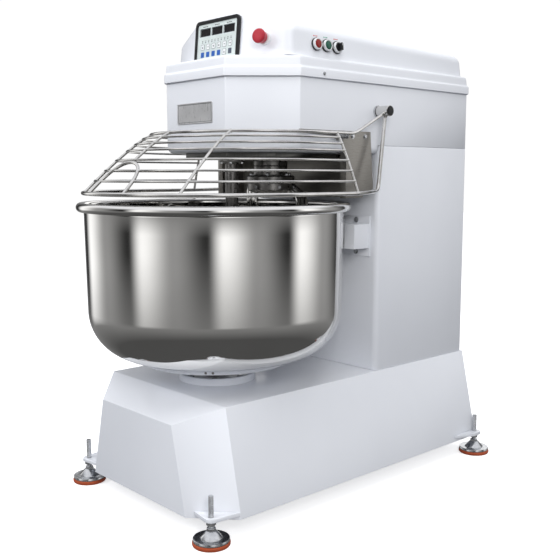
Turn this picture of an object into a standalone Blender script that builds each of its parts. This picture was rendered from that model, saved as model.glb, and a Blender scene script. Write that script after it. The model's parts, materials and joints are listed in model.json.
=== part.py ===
"""Floor-standing spiral dough mixer with a turning stainless bowl.

One named object for each piece, in metres, with +Z up and the bowl at -Y.
The origin is on the floor under the middle of the machine.
Pieces that meet keep a gap of GAP, so that no two solids overlap.
"""

import math

import bmesh
import bpy
from mathutils import Matrix, Vector

# Driving dimensions
GAP = 0.0003
RIM_RADIUS = 0.350  # outer edge of the bowl's rolled rim
MACHINE_DEPTH = 1.134  # from the rim's front to the back of the rear feet
BOWL_Y = RIM_RADIUS - MACHINE_DEPTH / 2

# Bowl
RIM_Z = 0.749
RIM_TUBE = 0.0115
WALL_RADIUS = 0.331  # under the rim
LOW_WALL_RADIUS = 0.327  # above the bottom corner
BOWL_THICK = 0.003
BOWL_BOTTOM_Z = 0.364
BOWL_CORNER = 0.126
SUPPORT_RADIUS = 0.200
SUPPORT_THICK = 0.013
SUPPORT_BORE = 0.030

# Base
BASE_BOTTOM_Z = 0.047
BASE_TOP_Z = 0.299
BASE_HALF_WIDTH = 0.297
BASE_TOP_HALF_WIDTH = 0.242
BASE_FRONT_Y = BOWL_Y - 0.255
BASE_REAR_Y = BOWL_Y + 0.757
BASE_FRONT_HALF_WIDTH = 0.201
BASE_CHAMFER_Y = BOWL_Y - 0.167
BASE_SLOPE_Z = 0.255
BASE_SLOPE_TOP_Y = BOWL_Y - 0.166
SHEET = 0.003
GLAND_X = 0.150
GLAND_Z = 0.150
GLAND_THREAD = 0.011

# Column and head
SIDE_HALF_WIDTH = 0.240
COLUMN_FRONT_Y = BOWL_Y + 0.357
COLUMN_REAR_Y = BOWL_Y + 0.750
SEAM_Z = 0.905
HEAD_FRONT_Y = BOWL_Y - 0.062
HEAD_FRONT_HALF_WIDTH = 0.120
HEAD_SIDE_START_Y = BOWL_Y + 0.071
HEAD_BOTTOM_Z = 0.884
HEAD_TOP_Z = 1.075
HEAD_EDGE = 0.014

# Top cover: a skirt over the head's wall, a ledge, and a leaning hood
SKIRT_Z = 1.061
SKIRT_STEP_Z = 1.085
LEDGE_Z = 1.110
SKIRT_OUT = 0.006
COVER_THICK = 0.004
HOOD_FRONT_Y = BOWL_Y + 0.010
HOOD_FRONT_HALF_WIDTH = 0.095
HOOD_SIDE_START_Y = BOWL_Y + 0.052
HOOD_HALF_WIDTH = 0.226
HOOD_REAR_Y = BOWL_Y + 0.742
HOOD_BASE_Z = 1.113
HOOD_SHOULDER_Z = 1.200
HOOD_TOP_Z = 1.231
HOOD_ROUND = 0.030  # how far the top edge's rounding reaches inwards
HOOD_LEAN = math.radians(5)
HOOD_FALL = 0.020  # how far the hood's top falls towards the rear
HOOD_CROWN = 0.034  # how far it falls towards each side

# Controls
PANEL_HALF_WIDTH = 0.088
PANEL_HEIGHT = 0.100
PANEL_DEPTH = 0.008
PANEL_FRAME = 0.009
PANEL_Z = 1.169
WINDOW_HALF_WIDTH = 0.0205
WINDOW_HEIGHT = 0.018
WINDOW_SPACING = 0.048
DISPLAY_TOP = 0.0035
FILM_THICK = 0.0015
STOP_ALONG = 0.065  # the emergency stop's distance along the facet
STOP_Z = 1.1535
BUTTON_Z = 1.143
SELECTOR_Z = 1.142
BUTTON_RADIUS = 0.0102
BEZEL_RADIUS = 0.015
BEZEL_TOP = 0.011
BADGE_HALF_WIDTH = 0.0715
BADGE_LOW_Z = 0.955
BADGE_HIGH_Z = 1.006

# Hook, its drive and the breaker bar
SPINDLE_Y = BOWL_Y + 0.191
HOOK_RADIUS = 0.088
HOOK_ROD = 0.016
HOOK_CLEARANCE = 0.006  # between the hook's rod and the bowl's corner
HOOK_FOOT_RADIUS = 0.056
HOOK_TOP_Z = 0.735
HOOK_TURNS = 1.25
STAY_RADIUS = 0.050
STAY_ANGLE = math.radians(218)
FOOT_SWEEP = math.radians(80)  # from the stay to where the spiral starts to rise
HUB_RADIUS = 0.065
HUB_TOP_Z = 0.8275
HUB_BOTTOM_Z = 0.786
COLLAR_RADIUS = 0.046
SPINDLE_BODY_RADIUS = 0.030
BREAKER_Y = BOWL_Y + 0.055
BREAKER_RADIUS = 0.017
BREAKER_FLANGE = 0.034
TRAY_BOTTOM_Z = 0.872
HEAD_HOLE = 0.075  # where the spindle's bearing comes through the head
TRAY_HOLE = 0.050
HOOK_MOTOR_Y = BOWL_Y + 0.560
HOOK_PULLEY_Z = 1.000
HOOK_PULLEY_RADIUS = 0.110
HOOK_MOTOR_PULLEY_RADIUS = 0.045
SPINDLE_RADIUS = 0.020  # where the pulley sits
MOTOR_BORE = 0.020  # how far a motor shaft reaches into its motor

# Bowl drive
BOWL_MOTOR_Y = BOWL_Y + 0.440
BOWL_PULLEY_Z = 0.100
BOWL_PULLEY_RADIUS = 0.150
BOWL_MOTOR_PULLEY_RADIUS = 0.036
PULLEY_WIDTH = 0.030
PULLEY_FLANGE = 0.004
BELT_THICK = 0.009
NECK_RADIUS = 0.101
NECK_TOP_Z = 0.318
NECK_CARTRIDGE = 0.058  # radius of the bearing below the base's top
NECK_LOW_Z = 0.165
BOWL_SHAFT_RADIUS = 0.030
DRIVE_FLANGE_RADIUS = 0.080

# Guard
PIVOT_Y = BOWL_Y + 0.350
PIVOT_Z = 0.992
PIVOT_PIN_RADIUS = 0.008
PIVOT_WASHER = 0.016
SLEEVE_RADIUS = 0.014
SLEEVE_START_X = SIDE_HALF_WIDTH + 0.006
SLEEVE_CAP = 0.004
SLEEVE_END_X = 0.285
GUARD_TOP_Z = 0.931
GUARD_TOP_RADIUS = 0.269
GUARD_TOP_Y = BOWL_Y + 0.130
GUARD_LOW_Z = 0.784
GUARD_LOW_RADIUS = 0.331
GUARD_LOW_Y = BOWL_Y
GUARD_RING_STEPS = (0.12, 0.24, 0.36, 0.52, 0.68, 0.83)
LOW_ROD = 0.005
TOP_ROD = 0.004
RING_ROD = 0.003
RIB_ROD = 0.0035

# Splash cover and side plates
SPLASH_Y = BOWL_Y + 0.296
SPLASH_FRONT_Y = BOWL_Y + 0.214
SPLASH_BOTTOM_Z = 0.770
SPLASH_SHEET = 0.002
SPLASH_FLANGE_X = 0.258

# Feet
FOOT_FRONT = (0.270, BOWL_Y - 0.233)
FOOT_REAR = (0.3045, BOWL_Y + 0.740)
FOOT_PAD_RADIUS = 0.044
FOOT_BRACKET_Z = 0.056
FOOT_BRACKET_THICK = 0.009
FOOT_STUD_RADIUS = 0.0065
FOOT_STUD_TOP_Z = 0.115
FOOT_PAD_TOP_Z = 0.010
FOOT_CONE_TOP_Z = 0.034

# Guide rollers behind the bowl
ROLLER_RADIUS = 0.022
ROLLER_X = 0.150
ROLLER_HEIGHT = 0.046
ROLLER_Z = 0.6655
ROLLER_GAP = 0.0005
ROLLER_PIN = 0.006
BRACKET_SHEET = 0.003
BRACKET_HALF_HEIGHT = 0.0325
BRACKET_REACH = 0.060
BRACKET_INNER_X = 0.122
BRACKET_OUTER_X = 0.213
PLATE_LOW_Z = 0.611
PLATE_HIGH_Z = 0.719

ROUND = 16  # sides of a small turned piece
SMOOTH = 40  # sides of a large turned piece


# Shared helpers


def material(name, colour, roughness, metallic=0.0):
    """A plain Principled material."""
    made = bpy.data.materials.new(name)
    made.use_nodes = True
    shader = made.node_tree.nodes["Principled BSDF"]
    shader.inputs["Base Color"].default_value = (*colour, 1.0)
    shader.inputs["Roughness"].default_value = roughness
    shader.inputs["Metallic"].default_value = metallic
    return made


def start_scene():
    """Empties the file and makes one collection for the pieces and one for the cutters."""
    for thing in list(bpy.data.objects):
        bpy.data.objects.remove(thing, do_unlink=True)
    pieces = bpy.data.collections.new("spiral_mixer")
    cutters = bpy.data.collections.new("cutters")
    bpy.context.scene.collection.children.link(pieces)
    bpy.context.scene.collection.children.link(cutters)
    return pieces, cutters


PIECES, CUTTERS = start_scene()
WHITE = material("white_enamel", (0.80, 0.81, 0.86), 0.35)
STEEL = material("polished_steel", (0.62, 0.61, 0.58), 0.12, 1.0)
SATIN = material("satin_steel", (0.45, 0.44, 0.42), 0.35, 1.0)
ZINC = material("zinc_steel", (0.60, 0.60, 0.62), 0.30, 1.0)
IRON = material("cast_iron", (0.16, 0.16, 0.17), 0.60, 0.6)
BLACK = material("black_plastic", (0.02, 0.02, 0.025), 0.40)
RUBBER = material("foot_rubber", (0.75, 0.10, 0.03), 0.70)
BELT = material("belt_rubber", (0.03, 0.03, 0.03), 0.80)
KEYPAD = material("keypad_film", (0.70, 0.76, 0.74), 0.45)
SCREEN = material("display_glass", (0.01, 0.01, 0.012), 0.08)
RED = material("red_button", (0.75, 0.03, 0.04), 0.35)
GREEN = material("green_button", (0.02, 0.28, 0.15), 0.35)
ALUMINIUM = material("plain_aluminium", (0.65, 0.66, 0.68), 0.35, 1.0)
NYLON = material("roller_nylon", (0.10, 0.10, 0.11), 0.50)


def add_object(name, data, look):
    """Links new object data under a name."""
    made = bpy.data.objects.new(name, data)
    data.materials.append(look)
    PIECES.objects.link(made)
    return made


def mesh_from(name, bm):
    """Turns a bmesh into mesh data, shaded smooth with sharp edges kept."""
    bmesh.ops.recalc_face_normals(bm, faces=bm.faces)
    mesh = bpy.data.meshes.new(name)
    bm.to_mesh(mesh)
    bm.free()
    mesh.shade_smooth()
    mesh.set_sharp_from_angle(angle=math.radians(35))
    return mesh


def box(name, low, high, look, place=Matrix()):
    """A box between two corners, in the frame of its place."""
    size = Vector(high) - Vector(low)
    centre = (Vector(high) + Vector(low)) / 2
    bm = bmesh.new()
    bmesh.ops.create_cube(bm, size=1.0, matrix=Matrix.Diagonal((*size, 1.0)))
    made = add_object(name, mesh_from(name, bm), look)
    made.matrix_world = place @ Matrix.Translation(centre)
    return made


def turned(name, profile, look, place, steps=ROUND, closed=False):
    """A profile of (radius, height) points turned about its axis and put at a matrix."""
    mesh = bpy.data.meshes.new(name)
    count = len(profile)
    edges = [(i, i + 1) for i in range(count - 1)]
    if closed:
        edges.append((count - 1, 0))
    mesh.from_pydata([(r, 0.0, z) for r, z in profile], edges, [])
    made = add_object(name, mesh, look)
    screw = made.modifiers.new("turn", "SCREW")
    screw.axis = "Z"
    screw.steps = steps
    screw.render_steps = steps
    screw.use_merge_vertices = True
    screw.merge_threshold = 0.00001
    screw.use_smooth_shade = False
    made.matrix_world = place
    return made


def ring_profile(inner, outer, low, high):
    """A closed profile for a plain ring."""
    return [(outer, high), (outer, low), (inner, low), (inner, high)]


def disc_profile(radius, low, high):
    """A profile for a plain cylinder."""
    return [(0.0, high), (radius, high), (radius, low), (0.0, low)]


def arc(centre, radius, start, end, count):
    """Points of an arc in a plane, from one angle to another, in degrees."""
    angles = [math.radians(start + (end - start) * i / count) for i in range(count + 1)]
    return [(centre[0] + radius * math.cos(a), centre[1] + radius * math.sin(a)) for a in angles]


def upright(x, y, z=0.0):
    """A place with its axis straight up."""
    return Matrix.Translation((x, y, z))


def facing(point, normal):
    """A place whose Z axis is the normal, with its Y axis as near to straight up as it gets."""
    out = Vector(normal).normalized()
    side = Vector((0.0, 0.0, 1.0)).cross(out).normalized()
    up = out.cross(side)
    turn = Matrix((side, up, out)).transposed().to_4x4()
    return Matrix.Translation(point) @ turn


def flat_shape(name, outlines, thickness, look, place):
    """A flat outline, with any further outlines as holes, given its thickness above its place."""
    curve = bpy.data.curves.new(name, "CURVE")
    curve.dimensions = "2D"
    curve.fill_mode = "BOTH"
    curve.extrude = thickness / 2
    for points in outlines:
        spline = curve.splines.new("POLY")
        spline.points.add(len(points) - 1)
        for target, point in zip(spline.points, points):
            target.co = (*point, 0.0, 1.0)
        spline.use_cyclic_u = True
    made = add_object(name, curve, look)
    made.matrix_world = place @ Matrix.Translation((0.0, 0.0, thickness / 2))
    return made


def as_mesh(thing):
    """Replaces a curve object with a welded mesh object of the same name."""
    bpy.context.view_layer.update()
    evaluated = thing.evaluated_get(bpy.context.evaluated_depsgraph_get())
    mesh = bpy.data.meshes.new_from_object(evaluated)
    bm = bmesh.new()
    bm.from_mesh(mesh)
    bmesh.ops.remove_doubles(bm, verts=bm.verts, dist=0.00001)
    bm.to_mesh(mesh)
    bm.free()
    name = thing.name
    look = thing.data.materials[0]
    place = thing.matrix_world.copy()
    bpy.data.objects.remove(thing, do_unlink=True)
    mesh.materials.clear()
    made = add_object(name, mesh, look)
    made.matrix_world = place
    return made


def rod(name, points, radius, look, sides=2):
    """A round bar along a list of points."""
    curve = bpy.data.curves.new(name, "CURVE")
    curve.dimensions = "3D"
    curve.bevel_depth = radius
    curve.bevel_resolution = sides
    curve.use_fill_caps = True
    spline = curve.splines.new("POLY")
    spline.points.add(len(points) - 1)
    for target, point in zip(spline.points, points):
        target.co = (*point, 1.0)
    return add_object(name, curve, look)


def combine(target, tool, operation):
    """Cuts a tool out of a piece, or joins it on; the tool becomes a hidden guide."""
    PIECES.objects.unlink(tool)
    CUTTERS.objects.link(tool)
    tool.hide_render = True
    tool.display_type = "WIRE"
    change = target.modifiers.new(operation.lower(), "BOOLEAN")
    change.operation = operation
    change.solver = "EXACT"
    change.object = tool
    return target


def cut(target, tool):
    """Takes a tool's shape away from a piece."""
    return combine(target, tool, "DIFFERENCE")


def join(target, tool):
    """Joins a tool's shape on to a piece."""
    return combine(target, tool, "UNION")


def rounded(points, radii, count):
    """An outline whose corners become arcs; a corner with no radius stays sharp."""
    result = []
    total = len(points)
    for i, (corner, radius) in enumerate(zip(points, radii)):
        here = Vector(corner)
        before = (Vector(points[i - 1]) - here).normalized()
        after = (Vector(points[(i + 1) % total]) - here).normalized()
        if radius == 0.0:
            result.append(tuple(here))
            continue
        half = before.angle(after) / 2
        centre = here + (before + after).normalized() * (radius / math.sin(half))
        start = here + before * (radius / math.tan(half)) - centre
        sweep = (math.pi - 2 * half) * math.copysign(1.0, before.cross(after) * -1)
        for step in range(count + 1):
            angle = sweep * step / count
            turn = Matrix.Rotation(angle, 2)
            result.append(tuple(centre + turn @ start))
    return result


def inset(points, distance):
    """Moves the corners of a counter-clockwise outline inwards, by one distance or one each."""
    result = []
    total = len(points)
    distances = distance if isinstance(distance, list) else [distance] * total
    for i in range(total):
        here = Vector(points[i])
        before = (here - Vector(points[i - 1])).normalized()
        after = (Vector(points[(i + 1) % total]) - here).normalized()
        inward = Vector((-before.y, before.x))
        bisector = (inward + Vector((-after.y, after.x))).normalized()
        result.append(tuple(here + bisector * (distances[i] / bisector.dot(inward))))
    return result


def loft(name, rings, look, cap_top=False, cap_bottom=False):
    """A surface through rings of points with equal counts; a cap may be lists of point numbers."""
    bm = bmesh.new()
    levels = [[bm.verts.new(p) for p in ring] for ring in rings]
    for low, high in zip(levels, levels[1:]):
        for i in range(len(low)):
            j = (i + 1) % len(low)
            bm.faces.new((low[i], low[j], high[j], high[i]))
    if cap_top:
        groups = [range(len(levels[-1]))] if cap_top is True else cap_top
        for group in groups:
            bm.faces.new([levels[-1][i] for i in group])
    if cap_bottom:
        bm.faces.new(list(reversed(levels[0])))
    return add_object(name, mesh_from(name, bm), look)


def shell(thing, thickness):
    """Gives an open surface a wall on its inner side."""
    wall = thing.modifiers.new("wall", "SOLIDIFY")
    wall.thickness = thickness
    wall.offset = -1.0
    wall.use_even_offset = True
    return thing


def mirrored(points):
    """A symmetric outline from its right half, listed from the front to the rear."""
    return list(points) + [(-x, y) for x, y in reversed(points)]


# Base and feet


def base_housing():
    """A tapering sheet-metal base, open below, with sloped and chamfered front corners."""
    rear = (BASE_HALF_WIDTH, BASE_REAR_Y, BASE_BOTTOM_Z)
    right = [
        (BASE_FRONT_HALF_WIDTH, BASE_FRONT_Y, BASE_BOTTOM_Z),
        (BASE_HALF_WIDTH, BASE_CHAMFER_Y, BASE_BOTTOM_Z),
        rear,
    ]
    slope_half_width = BASE_FRONT_HALF_WIDTH - 0.050
    top = [
        (slope_half_width, BASE_FRONT_Y, BASE_SLOPE_Z),
        (BASE_TOP_HALF_WIDTH, BASE_SLOPE_TOP_Y, BASE_TOP_Z),
        (BASE_TOP_HALF_WIDTH, BASE_REAR_Y, BASE_TOP_Z),
    ]
    bm = bmesh.new()
    for x, y, z in right + top:
        bm.verts.new((x, y, z))
        bm.verts.new((-x, y, z))
    bmesh.ops.convex_hull(bm, input=bm.verts)
    bottom = [f for f in bm.faces if all(v.co.z < BASE_BOTTOM_Z + GAP for v in f.verts)]
    bmesh.ops.delete(bm, geom=bottom, context="FACES_ONLY")
    bmesh.ops.dissolve_limit(
        bm, angle_limit=math.radians(2), verts=bm.verts, edges=bm.edges
    )
    base = add_object("base_housing", mesh_from("base_housing", bm), WHITE)
    shell(base, SHEET)
    neck_hole = turned(
        "neck_hole",
        disc_profile(NECK_CARTRIDGE + 0.004, BASE_TOP_Z - 0.02, BASE_TOP_Z + 0.02),
        WHITE,
        upright(0.0, BOWL_Y),
    )
    cable_hole = box(
        "cable_hole",
        (-0.08, COLUMN_FRONT_Y + 0.12, BASE_TOP_Z - 0.02),
        (0.08, COLUMN_REAR_Y - 0.12, BASE_TOP_Z + 0.02),
        WHITE,
    )
    gland_hole = turned(
        "gland_hole",
        disc_profile(GLAND_THREAD + 0.001, -0.02, 0.02),
        WHITE,
        facing((GLAND_X, BASE_REAR_Y, GLAND_Z), (0.0, 1.0, 0.0)),
    )
    for tool in (neck_hole, cable_hole, gland_hole):
        cut(base, tool)


def foot_bracket(name, outline, foot_x, foot_y, side):
    """A plate welded to a lower corner of the base, with a hole for the foot's stud."""
    points = [(side * x, y) for x, y in outline]
    hole = arc((side * foot_x, foot_y), FOOT_STUD_RADIUS + GAP, 0, 360 - 360 / 16, 15)
    flat_shape(
        name, [points, hole], FOOT_BRACKET_THICK, WHITE, upright(0.0, 0.0, FOOT_BRACKET_Z)
    )


def foot(name, x, y):
    """A threaded stud with a flared steel foot, standing on a rubber pad."""
    disc_radius = FOOT_PAD_RADIUS - 0.002
    turned(
        f"foot_stud_{name}",
        [
            (0.0, FOOT_STUD_TOP_Z),
            (FOOT_STUD_RADIUS - 0.001, FOOT_STUD_TOP_Z),
            (FOOT_STUD_RADIUS, FOOT_STUD_TOP_Z - 0.001),
            (FOOT_STUD_RADIUS, FOOT_CONE_TOP_Z + 0.002),
            (0.011, FOOT_CONE_TOP_Z),
            (0.026, FOOT_CONE_TOP_Z - 0.013),
            (0.028, FOOT_PAD_TOP_Z + 0.0065),
            (disc_radius, FOOT_PAD_TOP_Z + 0.005),
            (disc_radius, FOOT_PAD_TOP_Z + GAP),
            (0.0, FOOT_PAD_TOP_Z + GAP),
        ],
        ZINC,
        upright(x, y),
    )
    turned(
        f"foot_pad_{name}",
        [
            (0.0, FOOT_PAD_TOP_Z),
            (FOOT_PAD_RADIUS - 0.003, FOOT_PAD_TOP_Z),
            (FOOT_PAD_RADIUS, FOOT_PAD_TOP_Z - 0.003),
            (FOOT_PAD_RADIUS - 0.002, 0.0),
            (0.0, 0.0),
        ],
        RUBBER,
        upright(x, y),
    )


def feet():
    """The four levelling feet and their brackets."""
    side_x = BASE_HALF_WIDTH - 0.0008
    front_outline = rounded(
        [
            (0.218, BASE_FRONT_Y + 0.0125),
            (0.285, FOOT_FRONT[1] - 0.019),
            (side_x - 0.0005, BASE_CHAMFER_Y - 0.0015),
        ],
        [0.0, 0.018, 0.0],
        5,
    )
    rear_outline = rounded(
        [
            (side_x, FOOT_REAR[1] - 0.085),
            (0.321, FOOT_REAR[1] - 0.020),
            (0.321, FOOT_REAR[1] + 0.017),
            (side_x, FOOT_REAR[1] + 0.017),
        ],
        [0.0, 0.012, 0.012, 0.0],
        4,
    )
    for side, side_name in ((-1, "left"), (1, "right")):
        foot_bracket(f"foot_bracket_front_{side_name}", front_outline, *FOOT_FRONT, side)
        foot_bracket(f"foot_bracket_rear_{side_name}", rear_outline, *FOOT_REAR, side)
        foot(f"front_{side_name}", side * FOOT_FRONT[0], FOOT_FRONT[1])
        foot(f"rear_{side_name}", side * FOOT_REAR[0], FOOT_REAR[1])


# Column, head and covers


def ring_at(points, z):
    """A flat outline at a height."""
    return [(x, y, z) for x, y in points]


def column_housing():
    """A folded sheet column, open to the base, the head and the rear cover."""
    outline = mirrored(
        [(SIDE_HALF_WIDTH, COLUMN_FRONT_Y), (SIDE_HALF_WIDTH, COLUMN_REAR_Y)]
    )
    points = rounded(outline, [0.016, 0.006, 0.006, 0.016], 4)
    levels = (BASE_TOP_Z + GAP, SEAM_Z - GAP)
    column = loft("column_housing", [ring_at(points, z) for z in levels], WHITE)
    shell(column, SHEET)
    window = box(
        "rear_window",
        (-0.190, COLUMN_REAR_Y - 0.03, 0.360),
        (0.190, COLUMN_REAR_Y + 0.03, 0.860),
        WHITE,
    )
    cut(column, window)


def rear_cover():
    """A screwed-on access panel over the window at the back of the column."""
    corners = [(-0.205, 0.345), (0.205, 0.345), (0.205, 0.875), (-0.205, 0.875)]
    outline = rounded(corners, [0.010] * 4, 4)
    place = facing((0.0, COLUMN_REAR_Y + GAP, 0.0), (0.0, 1.0, 0.0))
    flat_shape("rear_cover", [outline], 0.002, WHITE, place)


def power_cable_gland():
    """The screwed gland where the supply cable enters the base."""
    bore = 0.006
    outer = 0.017
    turned(
        "power_cable_gland",
        [
            (outer - 0.003, 0.024),
            (outer, 0.020),
            (outer, GAP),
            (GLAND_THREAD, GAP),
            (GLAND_THREAD, -0.015),
            (bore, -0.015),
            (bore, 0.024),
        ],
        BLACK,
        facing((GLAND_X, BASE_REAR_Y, GLAND_Z), (0.0, 1.0, 0.0)),
        closed=True,
    )


HEAD_OUTLINE = mirrored(
    [
        (HEAD_FRONT_HALF_WIDTH, HEAD_FRONT_Y),
        (SIDE_HALF_WIDTH, HEAD_SIDE_START_Y),
        (SIDE_HALF_WIDTH, COLUMN_REAR_Y),
    ]
)
SKIRT_OUTLINE = mirrored(HEAD_OUTLINE[:3] + [(HOOD_FRONT_HALF_WIDTH, COLUMN_REAR_Y)])
HOOD_OUTLINE = mirrored(
    [
        (HOOD_FRONT_HALF_WIDTH, HOOD_FRONT_Y),
        (HOOD_HALF_WIDTH, HOOD_SIDE_START_Y),
        (HOOD_HALF_WIDTH, HOOD_REAR_Y),
        (HOOD_FRONT_HALF_WIDTH, HOOD_REAR_Y),
    ]
)


def head_housing():
    """The white head: a faceted sheet box that reaches over the bowl, open above."""
    corners = [0.006, 0.006, 0.006, 0.006, 0.006, 0.006]
    rings = []
    for angle in (0.0, 30.0, 60.0, 90.0):
        turn = math.radians(angle)
        inwards = HEAD_EDGE * (1.0 - math.sin(turn))
        z = HEAD_BOTTOM_Z + HEAD_EDGE * (1.0 - math.cos(turn))
        rings.append(ring_at(rounded(inset(HEAD_OUTLINE, inwards), corners, 2), z))
    rings.append(ring_at(rounded(HEAD_OUTLINE, corners, 2), HEAD_TOP_Z))
    head = loft("head_housing", rings, WHITE, cap_bottom=True)
    shell(head, SHEET)
    seat = box(
        "column_seat",
        (-0.30, COLUMN_FRONT_Y - 0.002, HEAD_BOTTOM_Z - 0.02),
        (0.30, COLUMN_REAR_Y + 0.05, SEAM_Z),
        WHITE,
    )
    spindle_hole = turned(
        "spindle_hole",
        disc_profile(HEAD_HOLE, HEAD_BOTTOM_Z - 0.02, HEAD_BOTTOM_Z + 0.02),
        WHITE,
        upright(0.0, SPINDLE_Y),
    )
    for tool in (seat, spindle_hole):
        cut(head, tool)


def head_bottom_tray():
    """A shallow stainless pan under the head that carries the breaker bar."""
    outline = mirrored(
        [
            (0.085, BOWL_Y - 0.030),
            (0.165, BOWL_Y + 0.060),
            (0.165, SPLASH_Y - 0.012),
        ]
    )
    points = rounded(outline, [0.010] * 6, 2)
    tray = loft(
        "head_bottom_tray",
        [ring_at(points, TRAY_BOTTOM_Z), ring_at(points, HEAD_BOTTOM_Z - GAP)],
        SATIN,
        cap_top=True,
        cap_bottom=True,
    )
    hole = turned(
        "tray_hole",
        disc_profile(TRAY_HOLE, TRAY_BOTTOM_Z - 0.02, HEAD_BOTTOM_Z + 0.02),
        SATIN,
        upright(0.0, SPINDLE_Y),
    )
    cut(tray, hole)


def splash_cover():
    """A stainless channel behind the hook, with forward wings and outward flanges."""
    inner = SIDE_HALF_WIDTH - GAP - SPLASH_SHEET
    outer = SIDE_HALF_WIDTH - GAP
    right = [
        (SPLASH_FLANGE_X, SPLASH_FRONT_Y),
        (SPLASH_FLANGE_X, SPLASH_FRONT_Y + SPLASH_SHEET),
        (outer, SPLASH_FRONT_Y + SPLASH_SHEET),
        (outer, SPLASH_Y + SPLASH_SHEET),
    ]
    inside = [(inner, SPLASH_FRONT_Y), (inner, SPLASH_Y)]
    outline = mirrored(right) + [(-x, y) for x, y in inside] + list(reversed(inside))
    height = HEAD_BOTTOM_Z - GAP - SPLASH_BOTTOM_Z
    flat_shape("splash_cover", [outline], height, SATIN, upright(0.0, 0.0, SPLASH_BOTTOM_Z))


def side_plates():
    """Stainless plates bolted to the head's sides, hanging down beside the splash cover."""
    strip_start = HEAD_SIDE_START_Y - 0.005
    outline = [
        (strip_start, 0.938),
        (strip_start, 0.930),
        (SPLASH_FRONT_Y + 0.004, 0.924),
        (SPLASH_FRONT_Y + 0.004, SPLASH_BOTTOM_Z),
        (BOWL_Y + 0.334, 0.791),
        (BOWL_Y + 0.321, 0.939),
    ]
    for name, x in (("left", -SIDE_HALF_WIDTH - GAP - SHEET), ("right", SIDE_HALF_WIDTH + GAP)):
        turn = Matrix(((0, 0, 1, x), (1, 0, 0, 0), (0, 1, 0, 0), (0, 0, 0, 1)))
        flat_shape(f"side_plate_{name}", [outline], SHEET, SATIN, turn)


def guard_sensor():
    """The cylindrical safety sensor that watches the guard, on a small foot."""
    x = SIDE_HALF_WIDTH + 0.0165
    y = BOWL_Y + 0.200
    z = 0.9245
    body = turned(
        "guard_sensor",
        disc_profile(0.0065, -0.020, 0.020),
        ZINC,
        facing((x, y, z), (0.0, 1.0, 0.0)),
    )
    foot_block = box(
        "sensor_foot",
        (SIDE_HALF_WIDTH + SHEET + 2 * GAP, y - 0.008, z - 0.010),
        (x, y + 0.008, z + 0.010),
        ZINC,
    )
    join(body, foot_block)


def hood_drop(x, y):
    """How far the hood's top edge lies below its front corners at a point of its foot."""
    across = (abs(x) - HOOD_FRONT_HALF_WIDTH) / (HOOD_HALF_WIDTH - HOOD_FRONT_HALF_WIDTH)
    along = (y - HOOD_FRONT_Y) / (HOOD_REAR_Y - HOOD_FRONT_Y)
    return HOOD_CROWN * across + HOOD_FALL * along


def hood_ring(z, dropped, inwards):
    """The hood's corners at a height: each on its leaning wall, or further inwards above it."""
    heights = []
    distances = []
    for x, y in HOOD_OUTLINE:
        drop = hood_drop(x, y) if dropped else 0.0
        wall_top = min(z, HOOD_SHOULDER_Z) - drop
        heights.append(z - drop)
        distances.append((wall_top - HOOD_BASE_Z) * math.tan(HOOD_LEAN) + inwards)
    return distances, heights


def top_cover():
    """The moulded cover: skirt, ledge and leaning hood, its top falling to the sides and rear."""
    arc_steps = 3
    skirt_radii = [0.010, 0.010, 0.014, 0.0, 0.0, 0.014, 0.010, 0.010]
    hood_radii = [0.020, 0.026, 0.014, 0.0, 0.0, 0.014, 0.026, 0.020]
    rings = []
    for inwards, z in (
        (-SKIRT_OUT, SKIRT_Z),
        (-SKIRT_OUT, SKIRT_STEP_Z - 0.003),
        (-SKIRT_OUT + 0.004, SKIRT_STEP_Z),
        (0.0, LEDGE_Z - 0.004),
        (0.003, LEDGE_Z),
    ):
        points = rounded(inset(SKIRT_OUTLINE, inwards), skirt_radii, arc_steps)
        rings.append(ring_at(points, z))
    levels = [
        (HOOD_BASE_Z - 0.001, False, -0.002),
        (HOOD_BASE_Z + 0.002, False, 0.0),
        (HOOD_SHOULDER_Z, True, 0.0),
    ]
    for angle in (30.0, 60.0, 90.0):
        turn = math.radians(angle)
        z = HOOD_SHOULDER_Z + (HOOD_TOP_Z - HOOD_SHOULDER_Z) * math.sin(turn)
        levels.append((z, True, HOOD_ROUND * (1.0 - math.cos(turn))))
    for z, dropped, inwards in levels:
        distances, heights = hood_ring(z, dropped, inwards)
        points = rounded(inset(HOOD_OUTLINE, distances), hood_radii, arc_steps)
        spread = []
        for height, radius in zip(heights, hood_radii):
            spread += [height] * (arc_steps + 1 if radius else 1)
        rings.append([(x, y, height) for (x, y), height in zip(points, spread)])
    front_end = arc_steps
    half = len(rings[-1]) // 2
    middle = list(range(front_end + 1)) + [half - 1, half]
    middle += list(range(2 * half - 1 - front_end, 2 * half))
    right = list(range(front_end, half))
    left = list(range(half, 2 * half - front_end))
    cover = loft("top_cover", rings, WHITE, cap_top=[middle, right, left])
    shell(cover, COVER_THICK)


# Controls

FRONT_NORMAL = Vector((0.0, -math.cos(HOOD_LEAN), math.sin(HOOD_LEAN)))
RIGHT_NORMAL = Vector((math.cos(HOOD_LEAN), 0.0, math.sin(HOOD_LEAN)))


def facet_normal():
    """The outward normal of the hood's right front facet."""
    along = Vector(
        (HOOD_HALF_WIDTH - HOOD_FRONT_HALF_WIDTH, HOOD_SIDE_START_Y - HOOD_FRONT_Y, 0.0)
    ).normalized()
    flat = Vector((along.y, -along.x, 0.0))
    return flat * math.cos(HOOD_LEAN) + Vector((0.0, 0.0, math.sin(HOOD_LEAN)))


def on_hood(foot, z, normal):
    """A place on a leaning hood wall at a height, above a point of the wall's foot."""
    lean = (z - HOOD_BASE_Z) * math.tan(HOOD_LEAN)
    out = Vector((normal.x, normal.y, 0.0)).normalized()
    return facing(Vector((foot[0], foot[1], z)) - out * lean, normal)


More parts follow.
